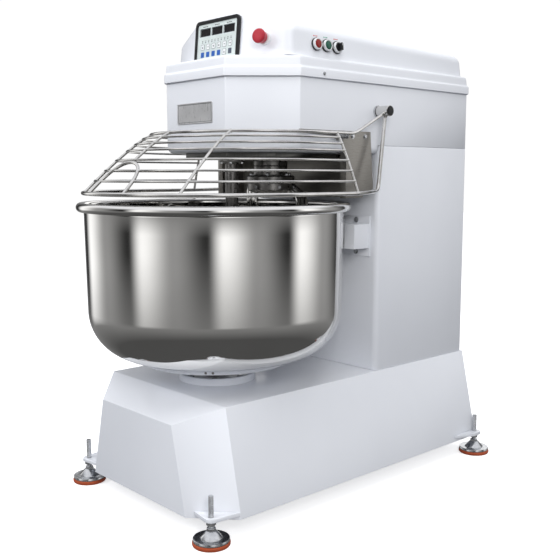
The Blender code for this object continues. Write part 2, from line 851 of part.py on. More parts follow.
def front_place(z):
    """A place on the middle of the hood's front wall."""
    return on_hood((0.0, HOOD_FRONT_Y), z, FRONT_NORMAL)


def side_place(y, z):
    """A place on the hood's right wall."""
    return on_hood((HOOD_HALF_WIDTH, y), z, RIGHT_NORMAL)


def facet_place(distance, z):
    """A place on the hood's right front facet, at a distance from the facet's front edge."""
    normal = facet_normal()
    along = Vector((0.0, 0.0, 1.0)).cross(normal).normalized()
    foot = Vector((HOOD_FRONT_HALF_WIDTH, HOOD_FRONT_Y, 0.0)) + along * distance
    return on_hood(foot, z, normal)


def rectangle(low, high):
    """The corners of a rectangle, counter-clockwise."""
    return [(low[0], low[1]), (high[0], low[1]), (high[0], high[1]), (low[0], high[1])]


def control_panel():
    """The panel on the hood's front: a frame open below, a display bar and a keypad film."""
    half = PANEL_HEIGHT / 2
    place = front_place(PANEL_Z)
    lift = Matrix.Translation((0.0, 0.0, GAP))
    inner = PANEL_HALF_WIDTH - PANEL_FRAME
    inner_top = half - PANEL_FRAME
    outer_arc = rounded(
        rectangle((-PANEL_HALF_WIDTH, -half), (PANEL_HALF_WIDTH, half)), [0, 0, 0.014, 0.014], 4
    )
    inner_arc = rounded(rectangle((-inner, -half), (inner, inner_top)), [0, 0, 0.006, 0.006], 3)
    arch = outer_arc[1:] + outer_arc[:1] + inner_arc[:1] + list(reversed(inner_arc[1:]))
    flat_shape("control_panel_bezel", [arch], PANEL_DEPTH, BLACK, place @ lift)
    window_top = inner_top - 0.012
    window_low = window_top - WINDOW_HEIGHT
    bar_end = WINDOW_SPACING + WINDOW_HALF_WIDTH + 0.005
    bar = rectangle((-bar_end, window_low - 0.004), (bar_end, window_top + 0.004))
    flat_shape("display_module", [bar], DISPLAY_TOP, SCREEN, place @ lift)
    film_corners = rectangle((-inner + GAP, -half), (inner - GAP, inner_top - GAP))
    film = rounded(film_corners, [0, 0, 0.006, 0.006], 3)
    windows = []
    for column in (-1, 0, 1):
        x = column * WINDOW_SPACING
        windows.append(
            rectangle((x - WINDOW_HALF_WIDTH, window_low), (x + WINDOW_HALF_WIDTH, window_top))
        )
    film_place = place @ Matrix.Translation((0.0, 0.0, DISPLAY_TOP + 2 * GAP))
    flat_shape("keypad_film", [film] + windows, FILM_THICK, KEYPAD, film_place)


def e_stop():
    """The red mushroom button and its collar on the hood's right front facet."""
    place = facet_place(STOP_ALONG, STOP_Z)
    stem = 0.0102
    body = 0.0145
    cap = 0.0175
    turned(
        "e_stop_collar",
        ring_profile(stem + GAP, 0.0165, GAP, 0.006),
        SATIN,
        place,
        closed=True,
    )
    turned(
        "e_stop_button",
        [
            (0.0, 0.034),
            (cap - 0.006, 0.0335),
            (cap - 0.0015, 0.0315),
            (cap, 0.0285),
            (cap - 0.0015, 0.0245),
            (body, 0.0235),
            (body, 0.0125),
            (stem, 0.0125),
            (stem, 0.007),
            (0.0, 0.007),
        ],
        RED,
        place,
    )


def button_bezel(name, place):
    """The ring round a push button or the selector."""
    bore = BUTTON_RADIUS + GAP
    turned(
        name,
        [
            (BEZEL_RADIUS - 0.002, BEZEL_TOP),
            (BEZEL_RADIUS, BEZEL_TOP - 0.003),
            (BEZEL_RADIUS, GAP),
            (bore, GAP),
            (bore, BEZEL_TOP),
        ],
        SATIN,
        place,
        closed=True,
    )


def push_button(name, y, look):
    """A round push button in its bezel on the hood's right side."""
    place = side_place(BOWL_Y + y, BUTTON_Z)
    button_bezel(f"{name}_bezel", place)
    low = 0.0045
    high = 0.012
    turned(
        name,
        [
            (0.0, high),
            (BUTTON_RADIUS - 0.0012, high),
            (BUTTON_RADIUS, high - 0.0015),
            (BUTTON_RADIUS, low),
            (0.0, low),
        ],
        look,
        place,
    )


def selector():
    """The two-way selector: a bezel and a black knob with a raised grip."""
    place = side_place(BOWL_Y + 0.209, SELECTOR_Z)
    button_bezel("selector_bezel", place)
    knob = turned("selector_knob", disc_profile(BUTTON_RADIUS, 0.003, 0.013), BLACK, place)
    grip = box("selector_grip", (-0.0035, -0.0095, 0.010), (0.0035, 0.0095, 0.023), BLACK, place)
    join(knob, grip)


def badge_plate():
    """A plain plate on the head's front face."""
    corners = rectangle((-BADGE_HALF_WIDTH, BADGE_LOW_Z), (BADGE_HALF_WIDTH, BADGE_HIGH_Z))
    place = facing((0.0, HEAD_FRONT_Y - GAP, 0.0), (0.0, -1.0, 0.0))
    flat_shape("badge_plate", [corners], 0.002, ALUMINIUM, place)


# Bowl and its drive


def bowl():
    """A spun stainless bowl with a rolled rim and a round bottom corner."""
    corner = (LOW_WALL_RADIUS - BOWL_CORNER, BOWL_BOTTOM_Z + BOWL_CORNER)
    outer_corner = arc(corner, BOWL_CORNER, 0, -90, 6)
    inner_corner = arc(corner, BOWL_CORNER - BOWL_THICK, -90, 0, 6)
    rim_centre = (RIM_RADIUS - RIM_TUBE, RIM_Z)
    inner_radius = WALL_RADIUS - BOWL_THICK
    rim = arc(rim_centre, RIM_TUBE, 160, -130, 8)
    profile = [(0.0, BOWL_BOTTOM_Z + BOWL_THICK)] + inner_corner
    profile += [(inner_radius, RIM_Z - 0.004)] + rim
    profile += [(WALL_RADIUS, RIM_Z - RIM_TUBE - 0.002)] + outer_corner + [(0.0, BOWL_BOTTOM_Z)]
    turned("bowl", profile, STEEL, upright(0.0, BOWL_Y), steps=SMOOTH)


def bowl_support():
    """The round plate under the bowl and the flanged shaft that turns it."""
    turned(
        "bowl_support_ring",
        [
            (SUPPORT_RADIUS, BOWL_BOTTOM_Z - GAP),
            (SUPPORT_RADIUS - 0.004, BOWL_BOTTOM_Z - SUPPORT_THICK),
            (SUPPORT_BORE, BOWL_BOTTOM_Z - SUPPORT_THICK),
            (SUPPORT_BORE, BOWL_BOTTOM_Z - GAP),
        ],
        WHITE,
        upright(0.0, BOWL_Y),
        steps=SMOOTH,
        closed=True,
    )
    flange_top = BOWL_BOTTOM_Z - SUPPORT_THICK - GAP
    turned(
        "bowl_shaft",
        [
            (0.0, flange_top),
            (DRIVE_FLANGE_RADIUS, flange_top),
            (DRIVE_FLANGE_RADIUS, flange_top - 0.014),
            (BOWL_SHAFT_RADIUS, flange_top - 0.014),
            (BOWL_SHAFT_RADIUS, BOWL_PULLEY_Z - 0.010),
            (0.0, BOWL_PULLEY_Z - 0.010),
        ],
        ZINC,
        upright(0.0, BOWL_Y),
    )
    bore = BOWL_SHAFT_RADIUS + GAP
    turned(
        "bowl_bearing_housing",
        [
            (NECK_RADIUS - 0.003, NECK_TOP_Z),
            (NECK_RADIUS, NECK_TOP_Z - 0.003),
            (NECK_RADIUS, BASE_TOP_Z + GAP),
            (NECK_CARTRIDGE, BASE_TOP_Z + GAP),
            (NECK_CARTRIDGE, NECK_LOW_Z),
            (bore, NECK_LOW_Z),
            (bore, NECK_TOP_Z),
        ],
        WHITE,
        upright(0.0, BOWL_Y),
        steps=24,
        closed=True,
    )


def pulley_groove(radius, z):
    """The outer side of a flanged belt pulley, from its top edge to its bottom edge."""
    flange = radius + BELT_THICK + 0.002
    low = z + PULLEY_FLANGE
    high = z + PULLEY_WIDTH - PULLEY_FLANGE
    return [
        (flange, z + PULLEY_WIDTH),
        (flange, high),
        (radius, high),
        (radius, low),
        (flange, low),
        (flange, z),
    ]


def pulley(name, radius, bore, z, y):
    """A flanged belt pulley on a shaft."""
    profile = pulley_groove(radius, z) + [(bore, z), (bore, z + PULLEY_WIDTH)]
    turned(name, profile, IRON, upright(0.0, y), steps=32, closed=True)


def motor_pulley(name, radius, shaft, shaft_end, z, y):
    """A small belt pulley with the motor shaft that it is keyed to, going up or down."""
    top = z + PULLEY_WIDTH
    groove = pulley_groove(radius, z)
    if shaft_end > top:
        profile = [(0.0, shaft_end), (shaft, shaft_end), (shaft, top)] + groove + [(0.0, z)]
    else:
        profile = [(0.0, top)] + groove + [(shaft, z), (shaft, shaft_end), (0.0, shaft_end)]
    turned(name, profile, IRON, upright(0.0, y))


def belt_path(radius_a, radius_b, distance, count):
    """The loop around two round pulleys, the first at the origin, the second at +Y."""
    tilt = math.degrees(math.asin((radius_a - radius_b) / distance))
    first = arc((0.0, 0.0), radius_a, 180 - tilt, 360 + tilt, count)
    second = arc((0.0, distance), radius_b, tilt, 180 - tilt, count)
    return first + second


def belt(name, radius_a, y_a, radius_b, y_b, z):
    """A belt running between a pulley's flanges."""
    grip = 2 * GAP
    steps = 16
    chord = 1.0 / math.cos(math.radians(220) / steps / 2)  # keeps chords off the pulleys
    inner = belt_path((radius_a + grip) * chord, (radius_b + grip) * chord, y_b - y_a, steps)
    outer = belt_path(radius_a + BELT_THICK, radius_b + BELT_THICK, y_b - y_a, steps)
    height = PULLEY_WIDTH - 2 * PULLEY_FLANGE - 2 * grip
    place = upright(0.0, y_a, z + PULLEY_FLANGE + grip)
    flat_shape(name, [outer, inner], height, BELT, place)


def motor(name, radius, low, high, shaft, faces_up, y):
    """An electric motor standing upright, with a bore for its shaft at one end."""
    bore = shaft + GAP
    depth = MOTOR_BORE + GAP
    if faces_up:
        profile = [
            (0.0, high - depth),
            (bore, high - depth),
            (bore, high),
            (radius * 0.6, high),
            (radius, high - 0.020),
            (radius, low + 0.010),
            (radius - 0.010, low),
            (0.0, low),
        ]
    else:
        profile = [
            (0.0, high),
            (radius - 0.010, high),
            (radius, high - 0.010),
            (radius, low + 0.020),
            (radius * 0.6, low),
            (bore, low),
            (bore, low + depth),
            (0.0, low + depth),
        ]
    turned(name, profile, IRON, upright(0.0, y))


def bowl_drive():
    """The bowl's motor in the base, with its two pulleys and belt."""
    shaft = 0.012
    motor_low = 0.140
    pulley("bowl_pulley", BOWL_PULLEY_RADIUS, BOWL_SHAFT_RADIUS + GAP, BOWL_PULLEY_Z, BOWL_Y)
    motor_pulley(
        "bowl_motor_pulley",
        BOWL_MOTOR_PULLEY_RADIUS,
        shaft,
        motor_low + MOTOR_BORE,
        BOWL_PULLEY_Z,
        BOWL_MOTOR_Y,
    )
    motor("bowl_motor", 0.075, motor_low, 0.285, shaft, False, BOWL_MOTOR_Y)
    belt(
        "bowl_belt",
        BOWL_PULLEY_RADIUS,
        BOWL_Y,
        BOWL_MOTOR_PULLEY_RADIUS,
        BOWL_MOTOR_Y,
        BOWL_PULLEY_Z,
    )


# Hook and its drive


def hook_radius(z):
    """How far out the spiral may run at a height, so that it stays clear of the bowl's corner."""
    reach = BOWL_CORNER - BOWL_THICK - HOOK_ROD - HOOK_CLEARANCE
    depth = max(0.0, BOWL_BOTTOM_Z + BOWL_CORNER - z)
    corner = LOW_WALL_RADIUS - BOWL_CORNER - (SPINDLE_Y - BOWL_Y)
    return min(HOOK_RADIUS, corner + math.sqrt(max(0.0, reach**2 - depth**2)))


def hook_low_z():
    """The height at which the hook's foot just clears the bowl's corner."""
    reach = BOWL_CORNER - BOWL_THICK - HOOK_ROD - HOOK_CLEARANCE
    corner = LOW_WALL_RADIUS - BOWL_CORNER - (SPINDLE_Y - BOWL_Y)
    return BOWL_BOTTOM_Z + BOWL_CORNER - math.sqrt(reach**2 - (HOOK_FOOT_RADIUS - corner) ** 2)


def round_spindle(radius, angle, z):
    """A point at a radius and an angle from the spindle's axis."""
    return (radius * math.cos(angle), SPINDLE_Y + radius * math.sin(angle), z)


def hook_path():
    """The hook's centre line: a straight stay, a foot sweep, a spiral up, and the top arm."""
    low_z = hook_low_z()
    bend_z = low_z + 0.040
    heights = (HUB_BOTTOM_Z - GAP, 0.700, 0.600, 0.500, bend_z)
    points = [round_spindle(STAY_RADIUS, STAY_ANGLE, z) for z in heights]
    sweep_steps = 8
    for step in range(1, sweep_steps + 1):
        share = step / sweep_steps
        radius = STAY_RADIUS + (HOOK_FOOT_RADIUS - STAY_RADIUS) * share
        drop = math.sin(math.pi / 2 * min(1.0, 2.0 * share))
        z = bend_z + (low_z - bend_z) * drop
        points.append(round_spindle(radius, STAY_ANGLE + FOOT_SWEEP * share, z))
    spiral_start = STAY_ANGLE + FOOT_SWEEP
    spiral_steps = 34
    for step in range(1, spiral_steps + 1):
        share = step / spiral_steps
        angle = spiral_start + 2 * math.pi * HOOK_TURNS * share
        z = low_z + (HOOK_TOP_Z - low_z) * share
        points.append(round_spindle(hook_radius(z), angle, z))
    spiral_end = spiral_start + 2 * math.pi * HOOK_TURNS
    arm = ((0.086, 12, 0.757), (0.076, 24, 0.775), (0.055, 36, 0.792), (0.030, 44, 0.800))
    for radius, extra, z in arm:
        points.append(round_spindle(radius, spiral_end + math.radians(extra), z))
    return points


def hook():
    """The spiral hook, its hub and the spindle that turns them."""
    spiral = as_mesh(rod("spiral_hook", hook_path(), HOOK_ROD, STEEL))
    pocket = turned(
        "hub_pocket",
        disc_profile(HUB_RADIUS + GAP, HUB_BOTTOM_Z - GAP, HUB_TOP_Z + 0.02),
        STEEL,
        upright(0.0, SPINDLE_Y),
        steps=24,
    )
    cut(spiral, pocket)
    turned(
        "hook_hub",
        [
            (0.0, HUB_TOP_Z),
            (HUB_RADIUS - 0.004, HUB_TOP_Z),
            (HUB_RADIUS, HUB_TOP_Z - 0.004),
            (HUB_RADIUS, HUB_BOTTOM_Z),
            (0.0, HUB_BOTTOM_Z),
        ],
        SATIN,
        upright(0.0, SPINDLE_Y),
        steps=24,
    )
    collar_top = TRAY_BOTTOM_Z - 0.006
    turned(
        "hook_spindle",
        [
            (0.0, HOOK_PULLEY_Z + PULLEY_WIDTH + 0.010),
            (SPINDLE_RADIUS, HOOK_PULLEY_Z + PULLEY_WIDTH + 0.010),
            (SPINDLE_RADIUS, HOOK_PULLEY_Z - 0.010),
            (SPINDLE_BODY_RADIUS, HOOK_PULLEY_Z - 0.010),
            (SPINDLE_BODY_RADIUS, collar_top),
            (COLLAR_RADIUS, collar_top),
            (COLLAR_RADIUS, HUB_TOP_Z + GAP),
            (0.0, HUB_TOP_Z + GAP),
        ],
        ZINC,
        upright(0.0, SPINDLE_Y),
    )
    floor = HEAD_BOTTOM_Z + SHEET + GAP
    bore = SPINDLE_BODY_RADIUS + GAP
    body = 0.055
    flange = 0.105
    turned(
        "spindle_bearing_housing",
        [
            (body, HOOK_PULLEY_Z - 0.020),
            (body, floor + 0.014),
            (flange, floor + 0.014),
            (flange, floor),
            (HEAD_HOLE - 0.003, floor),
            (HEAD_HOLE - 0.003, HEAD_BOTTOM_Z + GAP),
            (bore, HEAD_BOTTOM_Z + GAP),
            (bore, HOOK_PULLEY_Z - 0.020),
        ],
        IRON,
        upright(0.0, SPINDLE_Y),
        steps=24,
        closed=True,
    )


def hook_drive():
    """The hook's motor in the column, with its two pulleys and belt."""
    shaft = 0.014
    motor_high = 0.950
    pulley("hook_pulley", HOOK_PULLEY_RADIUS, SPINDLE_RADIUS + GAP, HOOK_PULLEY_Z, SPINDLE_Y)
    motor_pulley(
        "hook_motor_pulley",
        HOOK_MOTOR_PULLEY_RADIUS,
        shaft,
        motor_high - MOTOR_BORE,
        HOOK_PULLEY_Z,
        HOOK_MOTOR_Y,
    )
    motor("hook_motor", 0.105, 0.620, motor_high, shaft, True, HOOK_MOTOR_Y)
    belt(
        "hook_belt",
        HOOK_PULLEY_RADIUS,
        SPINDLE_Y,
        HOOK_MOTOR_PULLEY_RADIUS,
        HOOK_MOTOR_Y,
        HOOK_PULLEY_Z,
    )


def breaker_bar():
    """The fixed bar that hangs into the bowl beside the hook."""
    tip_z = BOWL_BOTTOM_Z + BOWL_THICK + 0.020
    flange_z = TRAY_BOTTOM_Z - GAP
    turned(
        "breaker_bar",
        [
            (0.0, flange_z),
            (BREAKER_FLANGE, flange_z),
            (BREAKER_FLANGE, flange_z - 0.010),
            (BREAKER_RADIUS, flange_z - 0.012),
            (BREAKER_RADIUS, tip_z + 0.008),
            (BREAKER_RADIUS - 0.006, tip_z),
            (0.0, tip_z),
        ],
        STEEL,
        upright(0.0, BREAKER_Y),
    )


# Guide rollers


def roller_y():
    """Y of the rollers' axes, just clear of the tapering wall at the roller's top edge."""
    share = (RIM_Z - ROLLER_Z - ROLLER_HEIGHT / 2) / (RIM_Z - BOWL_BOTTOM_Z - BOWL_CORNER)
    wall = WALL_RADIUS + (LOW_WALL_RADIUS - WALL_RADIUS) * share
    reach = wall + ROLLER_GAP + ROLLER_RADIUS
    return BOWL_Y + math.sqrt(reach**2 - ROLLER_X**2)


def guide_rollers():
    """Two rollers that steady the bowl's wall, in brackets on the column."""
    wall = BRACKET_SHEET
    low = ROLLER_Z - BRACKET_HALF_HEIGHT
    high = ROLLER_Z + BRACKET_HALF_HEIGHT
    centre_y = roller_y()
    back_y = COLUMN_FRONT_Y - GAP
    for name, side in (("left", -1), ("right", 1)):
        outline = [
            (BRACKET_OUTER_X, -BRACKET_REACH),
            (0.177, -BRACKET_REACH),
            (BRACKET_INNER_X, -0.024),
            (BRACKET_INNER_X, -wall / 2),
            (BRACKET_OUTER_X, -wall / 2),
        ]
        inner = [
            (BRACKET_OUTER_X - wall, -BRACKET_REACH + wall),
            (0.170, -BRACKET_REACH + wall),
            (0.120, -0.050),
            (0.100, -0.020),
            (0.100, wall),
            (BRACKET_OUTER_X - wall, wall),
        ]
        shift = upright(0.0, back_y, low)
        bracket = as_mesh(
            flat_shape(
                f"roller_bracket_{name}",
                [[(side * x, y) for x, y in outline]],
                high - low,
                WHITE,
                shift,
            )
        )
        pocket = as_mesh(
            flat_shape(
                f"roller_pocket_{name}",
                [[(side * x, y) for x, y in inner]],
                high - low - 2 * wall,
                WHITE,
                shift @ Matrix.Translation((0.0, 0.0, wall)),
            )
        )
        cut(bracket, pocket)
        edges = sorted((side * (BRACKET_INNER_X - wall), side * (BRACKET_OUTER_X + wall)))
        plate = box(
            f"roller_plate_{name}",
            (edges[0], back_y - wall, PLATE_LOW_Z),
            (edges[1], back_y, PLATE_HIGH_Z),
            WHITE,
        )
        join(bracket, plate)
        pin = turned(
            f"roller_pin_{name}",
            disc_profile(ROLLER_PIN, low + 0.001, high - 0.001),
            WHITE,
            upright(side * ROLLER_X, centre_y),
        )
        join(bracket, pin)
        half = ROLLER_HEIGHT / 2
        turned(
            f"guide_roller_{name}",
            ring_profile(ROLLER_PIN + GAP, ROLLER_RADIUS, -half, half),
            NYLON,
            upright(side * ROLLER_X, centre_y, ROLLER_Z),
            closed=True,
        )


# Guard


def guard_ring(share):
    """Radius, centre Y and height of the guard's ring at a share of the way down."""
    radius = GUARD_TOP_RADIUS + (GUARD_LOW_RADIUS - GUARD_TOP_RADIUS) * share
    centre_y = GUARD_TOP_Y + (GUARD_LOW_Y - GUARD_TOP_Y) * share
    z = GUARD_TOP_Z + (GUARD_LOW_Z - GUARD_TOP_Z) * share**1.2
    return radius, centre_y, z


def guard_side_x(share):
    """Half width of the guard's side at its rear rib."""
    return GUARD_TOP_RADIUS + (GUARD_LOW_RADIUS - GUARD_TOP_RADIUS) * share


def guard_side_y(share):
    """Y of the guard's rear rib."""
    return BOWL_Y + 0.167 + 0.013 * share


def ring_points(share, count):
    """A ring from the left rear rib round the front to the right rear rib."""
    radius, centre_y, z = guard_ring(share)
    points = [
        (x, y, z) for x, y in arc((0.0, centre_y), radius, 180, 360, count)
    ]
    side = (guard_side_x(share), guard_side_y(share), z)
    return [(-side[0], side[1], z)] + points + [side]


def rib_point(angle, share):
    """A point where a rib at an angle from the front crosses the ring at a share."""
    radius, centre_y, z = guard_ring(share)
    turn = math.radians(angle)
    return (radius * math.sin(turn), centre_y - radius * math.cos(turn), z)


def top_rod_points():
    """The upper rod: down from one sleeve, round the front and up to the other."""
    front = ring_points(0.0, 20)
    side = front[-1]
    rear = [
        (side[0], PIVOT_Y - 0.125, GUARD_TOP_Z),
        (side[0], PIVOT_Y - 0.112, GUARD_TOP_Z + 0.004),
        (0.272, PIVOT_Y - 0.0095, PIVOT_Z - 0.005),
    ]
    left = [(-x, y, z) for x, y, z in reversed(rear)]
    return left + front + rear


def low_rod_points():
    """The lower rod: down from one sleeve, a bend, round the bowl and back up."""
    drop_y = PIVOT_Y - 0.045
    front = [
        (x, y, GUARD_LOW_Z) for x, y in arc((0.0, GUARD_LOW_Y), GUARD_LOW_RADIUS, 180, 360, 24)
    ]
    bend = 0.014
    low = GUARD_LOW_Z + 0.004
    rear = [
        (GUARD_LOW_RADIUS, GUARD_LOW_Y + 0.190, GUARD_LOW_Z),
        (GUARD_LOW_RADIUS - 0.006, GUARD_LOW_Y + 0.220, GUARD_LOW_Z + 0.001),
        (0.288, drop_y - bend, low),
        (0.286, drop_y - 0.3 * bend, low + 0.3 * bend),
        (0.285, drop_y, low + bend),
        (0.268, PIVOT_Y - 0.002, PIVOT_Z - 0.0105),
    ]
    left = [(-x, y, z) for x, y, z in reversed(rear)]
    return left + front + rear


def handle_points():
    """The arch at the guard's front: two legs on the lower rod and a round top."""
    top_share = 0.56
    crown = rib_point(0.0, top_share)
    points = []
    half_angle = 13.0
    steps = 10
    for step in range(steps + 1):
        turn = math.pi * step / steps
        side = -math.cos(turn)
        rise = math.sin(turn) ** 0.7
        share = 1.0 + (top_share - 1.0) * rise
        foot = rib_point(half_angle * side, share)
        points.append((foot[0], foot[1] - 0.004 * rise, foot[2]))
    points[steps // 2] = (crown[0], crown[1] - 0.004, crown[2])
    return points


def wire_guard():
    """The stainless wire guard with its handle and its two pivot sleeves."""
    guard = as_mesh(rod("wire_guard", low_rod_points(), LOW_ROD, STEEL, 1))
    wires = [rod("guard_top_rod", top_rod_points(), TOP_ROD, STEEL, 1)]
    for number, share in enumerate(GUARD_RING_STEPS):
        wires.append(rod(f"guard_ring_{number}", ring_points(share, 14), RING_ROD, STEEL, 1))
    rib_shares = (0.0, *GUARD_RING_STEPS, 1.0)
    for angle in (-38, 38):
        points = [rib_point(angle, share) for share in rib_shares]
        wires.append(rod(f"guard_rib_{angle}", points, RIB_ROD, STEEL, 1))
    centre = [rib_point(0.0, share) for share in rib_shares if share < 0.6]
    wires.append(rod("guard_rib_centre", centre, RIB_ROD, STEEL, 1))
    for side in (-1, 1):
        points = []
        for share in rib_shares:
            height = guard_ring(share)[2]
            points.append((side * guard_side_x(share), guard_side_y(share), height))
        wires.append(rod(f"guard_rear_rib_{side}", points, RIB_ROD, STEEL, 1))
    wires.append(rod("guard_handle", handle_points(), RIB_ROD + 0.0005, STEEL, 1))
    for wire in wires:
        join(guard, as_mesh(wire))
    cap_x = SLEEVE_END_X - SLEEVE_CAP
    bore = PIVOT_PIN_RADIUS + GAP
    for side in (-1, 1):
        sleeve = turned(
            f"guard_sleeve_{side}",
            [
                (0.0, SLEEVE_END_X),
                (SLEEVE_RADIUS, SLEEVE_END_X),
                (SLEEVE_RADIUS, SLEEVE_START_X),
                (bore, SLEEVE_START_X),
                (bore, cap_x),
                (0.0, cap_x),
            ],
            STEEL,
            facing((0.0, PIVOT_Y, PIVOT_Z), (side, 0.0, 0.0)),
        )
        join(guard, sleeve)


def guard_pivots():
    """Pins on the head's sides that the guard's sleeves turn on."""
    pin_end = SLEEVE_END_X - SLEEVE_CAP - 0.0005
    washer_x = SLEEVE_START_X - 0.0005
    for name, side in (("left", -1), ("right", 1)):
        turned(
            f"guard_pivot_pin_{name}",
            [
                (0.0, pin_end),
                (PIVOT_PIN_RADIUS, pin_end),
                (PIVOT_PIN_RADIUS, washer_x),
                (PIVOT_WASHER, washer_x),
                (PIVOT_WASHER, SIDE_HALF_WIDTH + GAP),
                (0.0, SIDE_HALF_WIDTH + GAP),
            ],
            ZINC,
            facing((0.0, PIVOT_Y, PIVOT_Z), (side, 0.0, 0.0)),
        )


def main():
    base_housing()
    feet()
    column_housing()
    rear_cover()
    power_cable_gland()
    head_housing()
    head_bottom_tray()
    splash_cover()
    side_plates()
    guard_sensor()
    top_cover()
    control_panel()
    e_stop()
    push_button("stop_button", 0.138, RED)
    push_button("start_button", 0.173, GREEN)
    selector()
    badge_plate()
    bowl()
    bowl_support()
    bowl_drive()
    hook()
    hook_drive()
    breaker_bar()
    guide_rollers()
    wire_guard()
    guard_pivots()


main()
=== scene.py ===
"""Looks of the spiral dough mixer: fine meshes, materials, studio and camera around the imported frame.

Everything is in metres in the frame's own axes: +Z up, the bowl at -Y, the column at +Y.
"""

import json
import math

import bmesh
import bpy
from mathutils import Matrix, Vector


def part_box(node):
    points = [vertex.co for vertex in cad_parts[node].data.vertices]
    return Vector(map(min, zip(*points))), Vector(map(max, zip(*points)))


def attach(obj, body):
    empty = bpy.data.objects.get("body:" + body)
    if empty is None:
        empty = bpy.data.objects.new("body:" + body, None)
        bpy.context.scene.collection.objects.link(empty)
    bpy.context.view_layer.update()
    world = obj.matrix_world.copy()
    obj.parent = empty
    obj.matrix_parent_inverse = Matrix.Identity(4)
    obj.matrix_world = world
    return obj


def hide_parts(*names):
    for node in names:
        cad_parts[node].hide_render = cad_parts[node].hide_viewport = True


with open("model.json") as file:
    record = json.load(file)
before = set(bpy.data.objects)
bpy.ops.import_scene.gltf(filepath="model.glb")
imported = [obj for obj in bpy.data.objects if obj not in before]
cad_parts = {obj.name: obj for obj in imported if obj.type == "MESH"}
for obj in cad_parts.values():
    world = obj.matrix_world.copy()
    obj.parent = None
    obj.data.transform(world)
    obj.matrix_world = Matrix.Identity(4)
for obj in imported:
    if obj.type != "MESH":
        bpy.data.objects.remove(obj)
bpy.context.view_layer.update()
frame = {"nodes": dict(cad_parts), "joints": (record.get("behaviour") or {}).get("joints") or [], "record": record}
NODES = frame["nodes"]
JOINTS = {joint["name"]: joint for joint in frame["joints"]}

UP = Vector((0.0, 0.0, 1.0))
UPSIDE_DOWN = Matrix.Rotation(math.pi, 4, "X")
RIGHT = Vector(JOINTS["selector_turn"]["axis"])
FACET = -Vector(JOINTS["e_stop_press"]["axis"])
LEAN = math.asin(RIGHT.z)
FRONT = Vector((0.0, -math.cos(LEAN), math.sin(LEAN)))


# Materials


def colour_ramp(tree, value, stops, interpolation="LINEAR"):
    """A colour ramp from (position, colour) stops, driven by a value."""
    made = tree.nodes.new("ShaderNodeValToRGB")
    made.color_ramp.interpolation = interpolation
    elements = made.color_ramp.elements
    for element, (position, colour) in zip(elements, (stops[0], stops[-1])):
        element.position = position
        element.color = (*colour, 1.0)
    for position, colour in stops[1:-1]:
        elements.new(position).color = (*colour, 1.0)
    tree.links.new(value, made.inputs["Fac"])
    return made.outputs["Color"]


class Look:
    """A Principled material with a few procedural layers added one call at a time."""

    def __init__(self, name, colour, roughness, metallic=0.0, **sockets):
        self.material = bpy.data.materials.new(name)
        self.material.use_nodes = True
        self.tree = self.material.node_tree
        self.shader = self.tree.nodes["Principled BSDF"]
        self.shader.inputs["Base Color"].default_value = (*colour, 1.0)
        self.shader.inputs["Roughness"].default_value = roughness
        self.shader.inputs["Metallic"].default_value = metallic
        for socket, value in sockets.items():
            self.shader.inputs[socket.replace("_", " ").title()].default_value = value
        self.bump_output = None

    def noise(self, scale, detail=3.0, stretch=(1.0, 1.0, 1.0)):
        """Noise over the object's own coordinates, from 0 to 1."""
        where = self.tree.nodes.new("ShaderNodeTexCoord")
        mapping = self.tree.nodes.new("ShaderNodeMapping")
        mapping.inputs["Scale"].default_value = stretch
        made = self.tree.nodes.new("ShaderNodeTexNoise")
        made.inputs["Scale"].default_value = scale
        made.inputs["Detail"].default_value = detail
        self.tree.links.new(where.outputs["Object"], mapping.inputs["Vector"])
        self.tree.links.new(mapping.outputs["Vector"], made.inputs["Vector"])
        return made.outputs["Fac"]

    def radial_noise(self, scale, detail=3.0):
        """Noise that only changes with height and radius, for marks left by turning."""
        where = self.tree.nodes.new("ShaderNodeTexCoord")
        split = self.tree.nodes.new("ShaderNodeSeparateXYZ")
        flat = self.tree.nodes.new("ShaderNodeCombineXYZ")
        length = self.tree.nodes.new("ShaderNodeVectorMath")
        length.operation = "LENGTH"
        joined = self.tree.nodes.new("ShaderNodeCombineXYZ")
        made = self.tree.nodes.new("ShaderNodeTexNoise")
        made.inputs["Scale"].default_value = scale
        made.inputs["Detail"].default_value = detail
        links = self.tree.links
        links.new(where.outputs["Object"], split.inputs[0])
        links.new(split.outputs["X"], flat.inputs["X"])
        links.new(split.outputs["Y"], flat.inputs["Y"])
        links.new(flat.outputs[0], length.inputs[0])
        links.new(length.outputs["Value"], joined.inputs["X"])
        links.new(split.outputs["Z"], joined.inputs["Y"])
        links.new(joined.outputs[0], made.inputs["Vector"])
        return made.outputs["Fac"]

    def tint(self, value, stops):
        """Drives the colour with a ramp."""
        self.tree.links.new(colour_ramp(self.tree, value, stops), self.shader.inputs["Base Color"])
        return self

    def gloss(self, value, low, high):
        """Drives the roughness between two values."""
        made = self.tree.nodes.new("ShaderNodeMapRange")
        made.inputs["From Min"].default_value = 0.3
        made.inputs["From Max"].default_value = 0.7
        made.inputs["To Min"].default_value = low
        made.inputs["To Max"].default_value = high
        self.tree.links.new(value, made.inputs["Value"])
        self.tree.links.new(made.outputs["Result"], self.shader.inputs["Roughness"])
        return self

    def bump(self, height, distance, strength=1.0):
        """Adds a bump whose distance is the relief's depth in metres."""
        made = self.tree.nodes.new("ShaderNodeBump")
        made.inputs["Strength"].default_value = strength
        made.inputs["Distance"].default_value = distance
        self.tree.links.new(height, made.inputs["Height"])
        if self.bump_output is not None:
            self.tree.links.new(self.bump_output, made.inputs["Normal"])
        self.bump_output = made.outputs["Normal"]
        self.tree.links.new(self.bump_output, self.shader.inputs["Normal"])
        return self


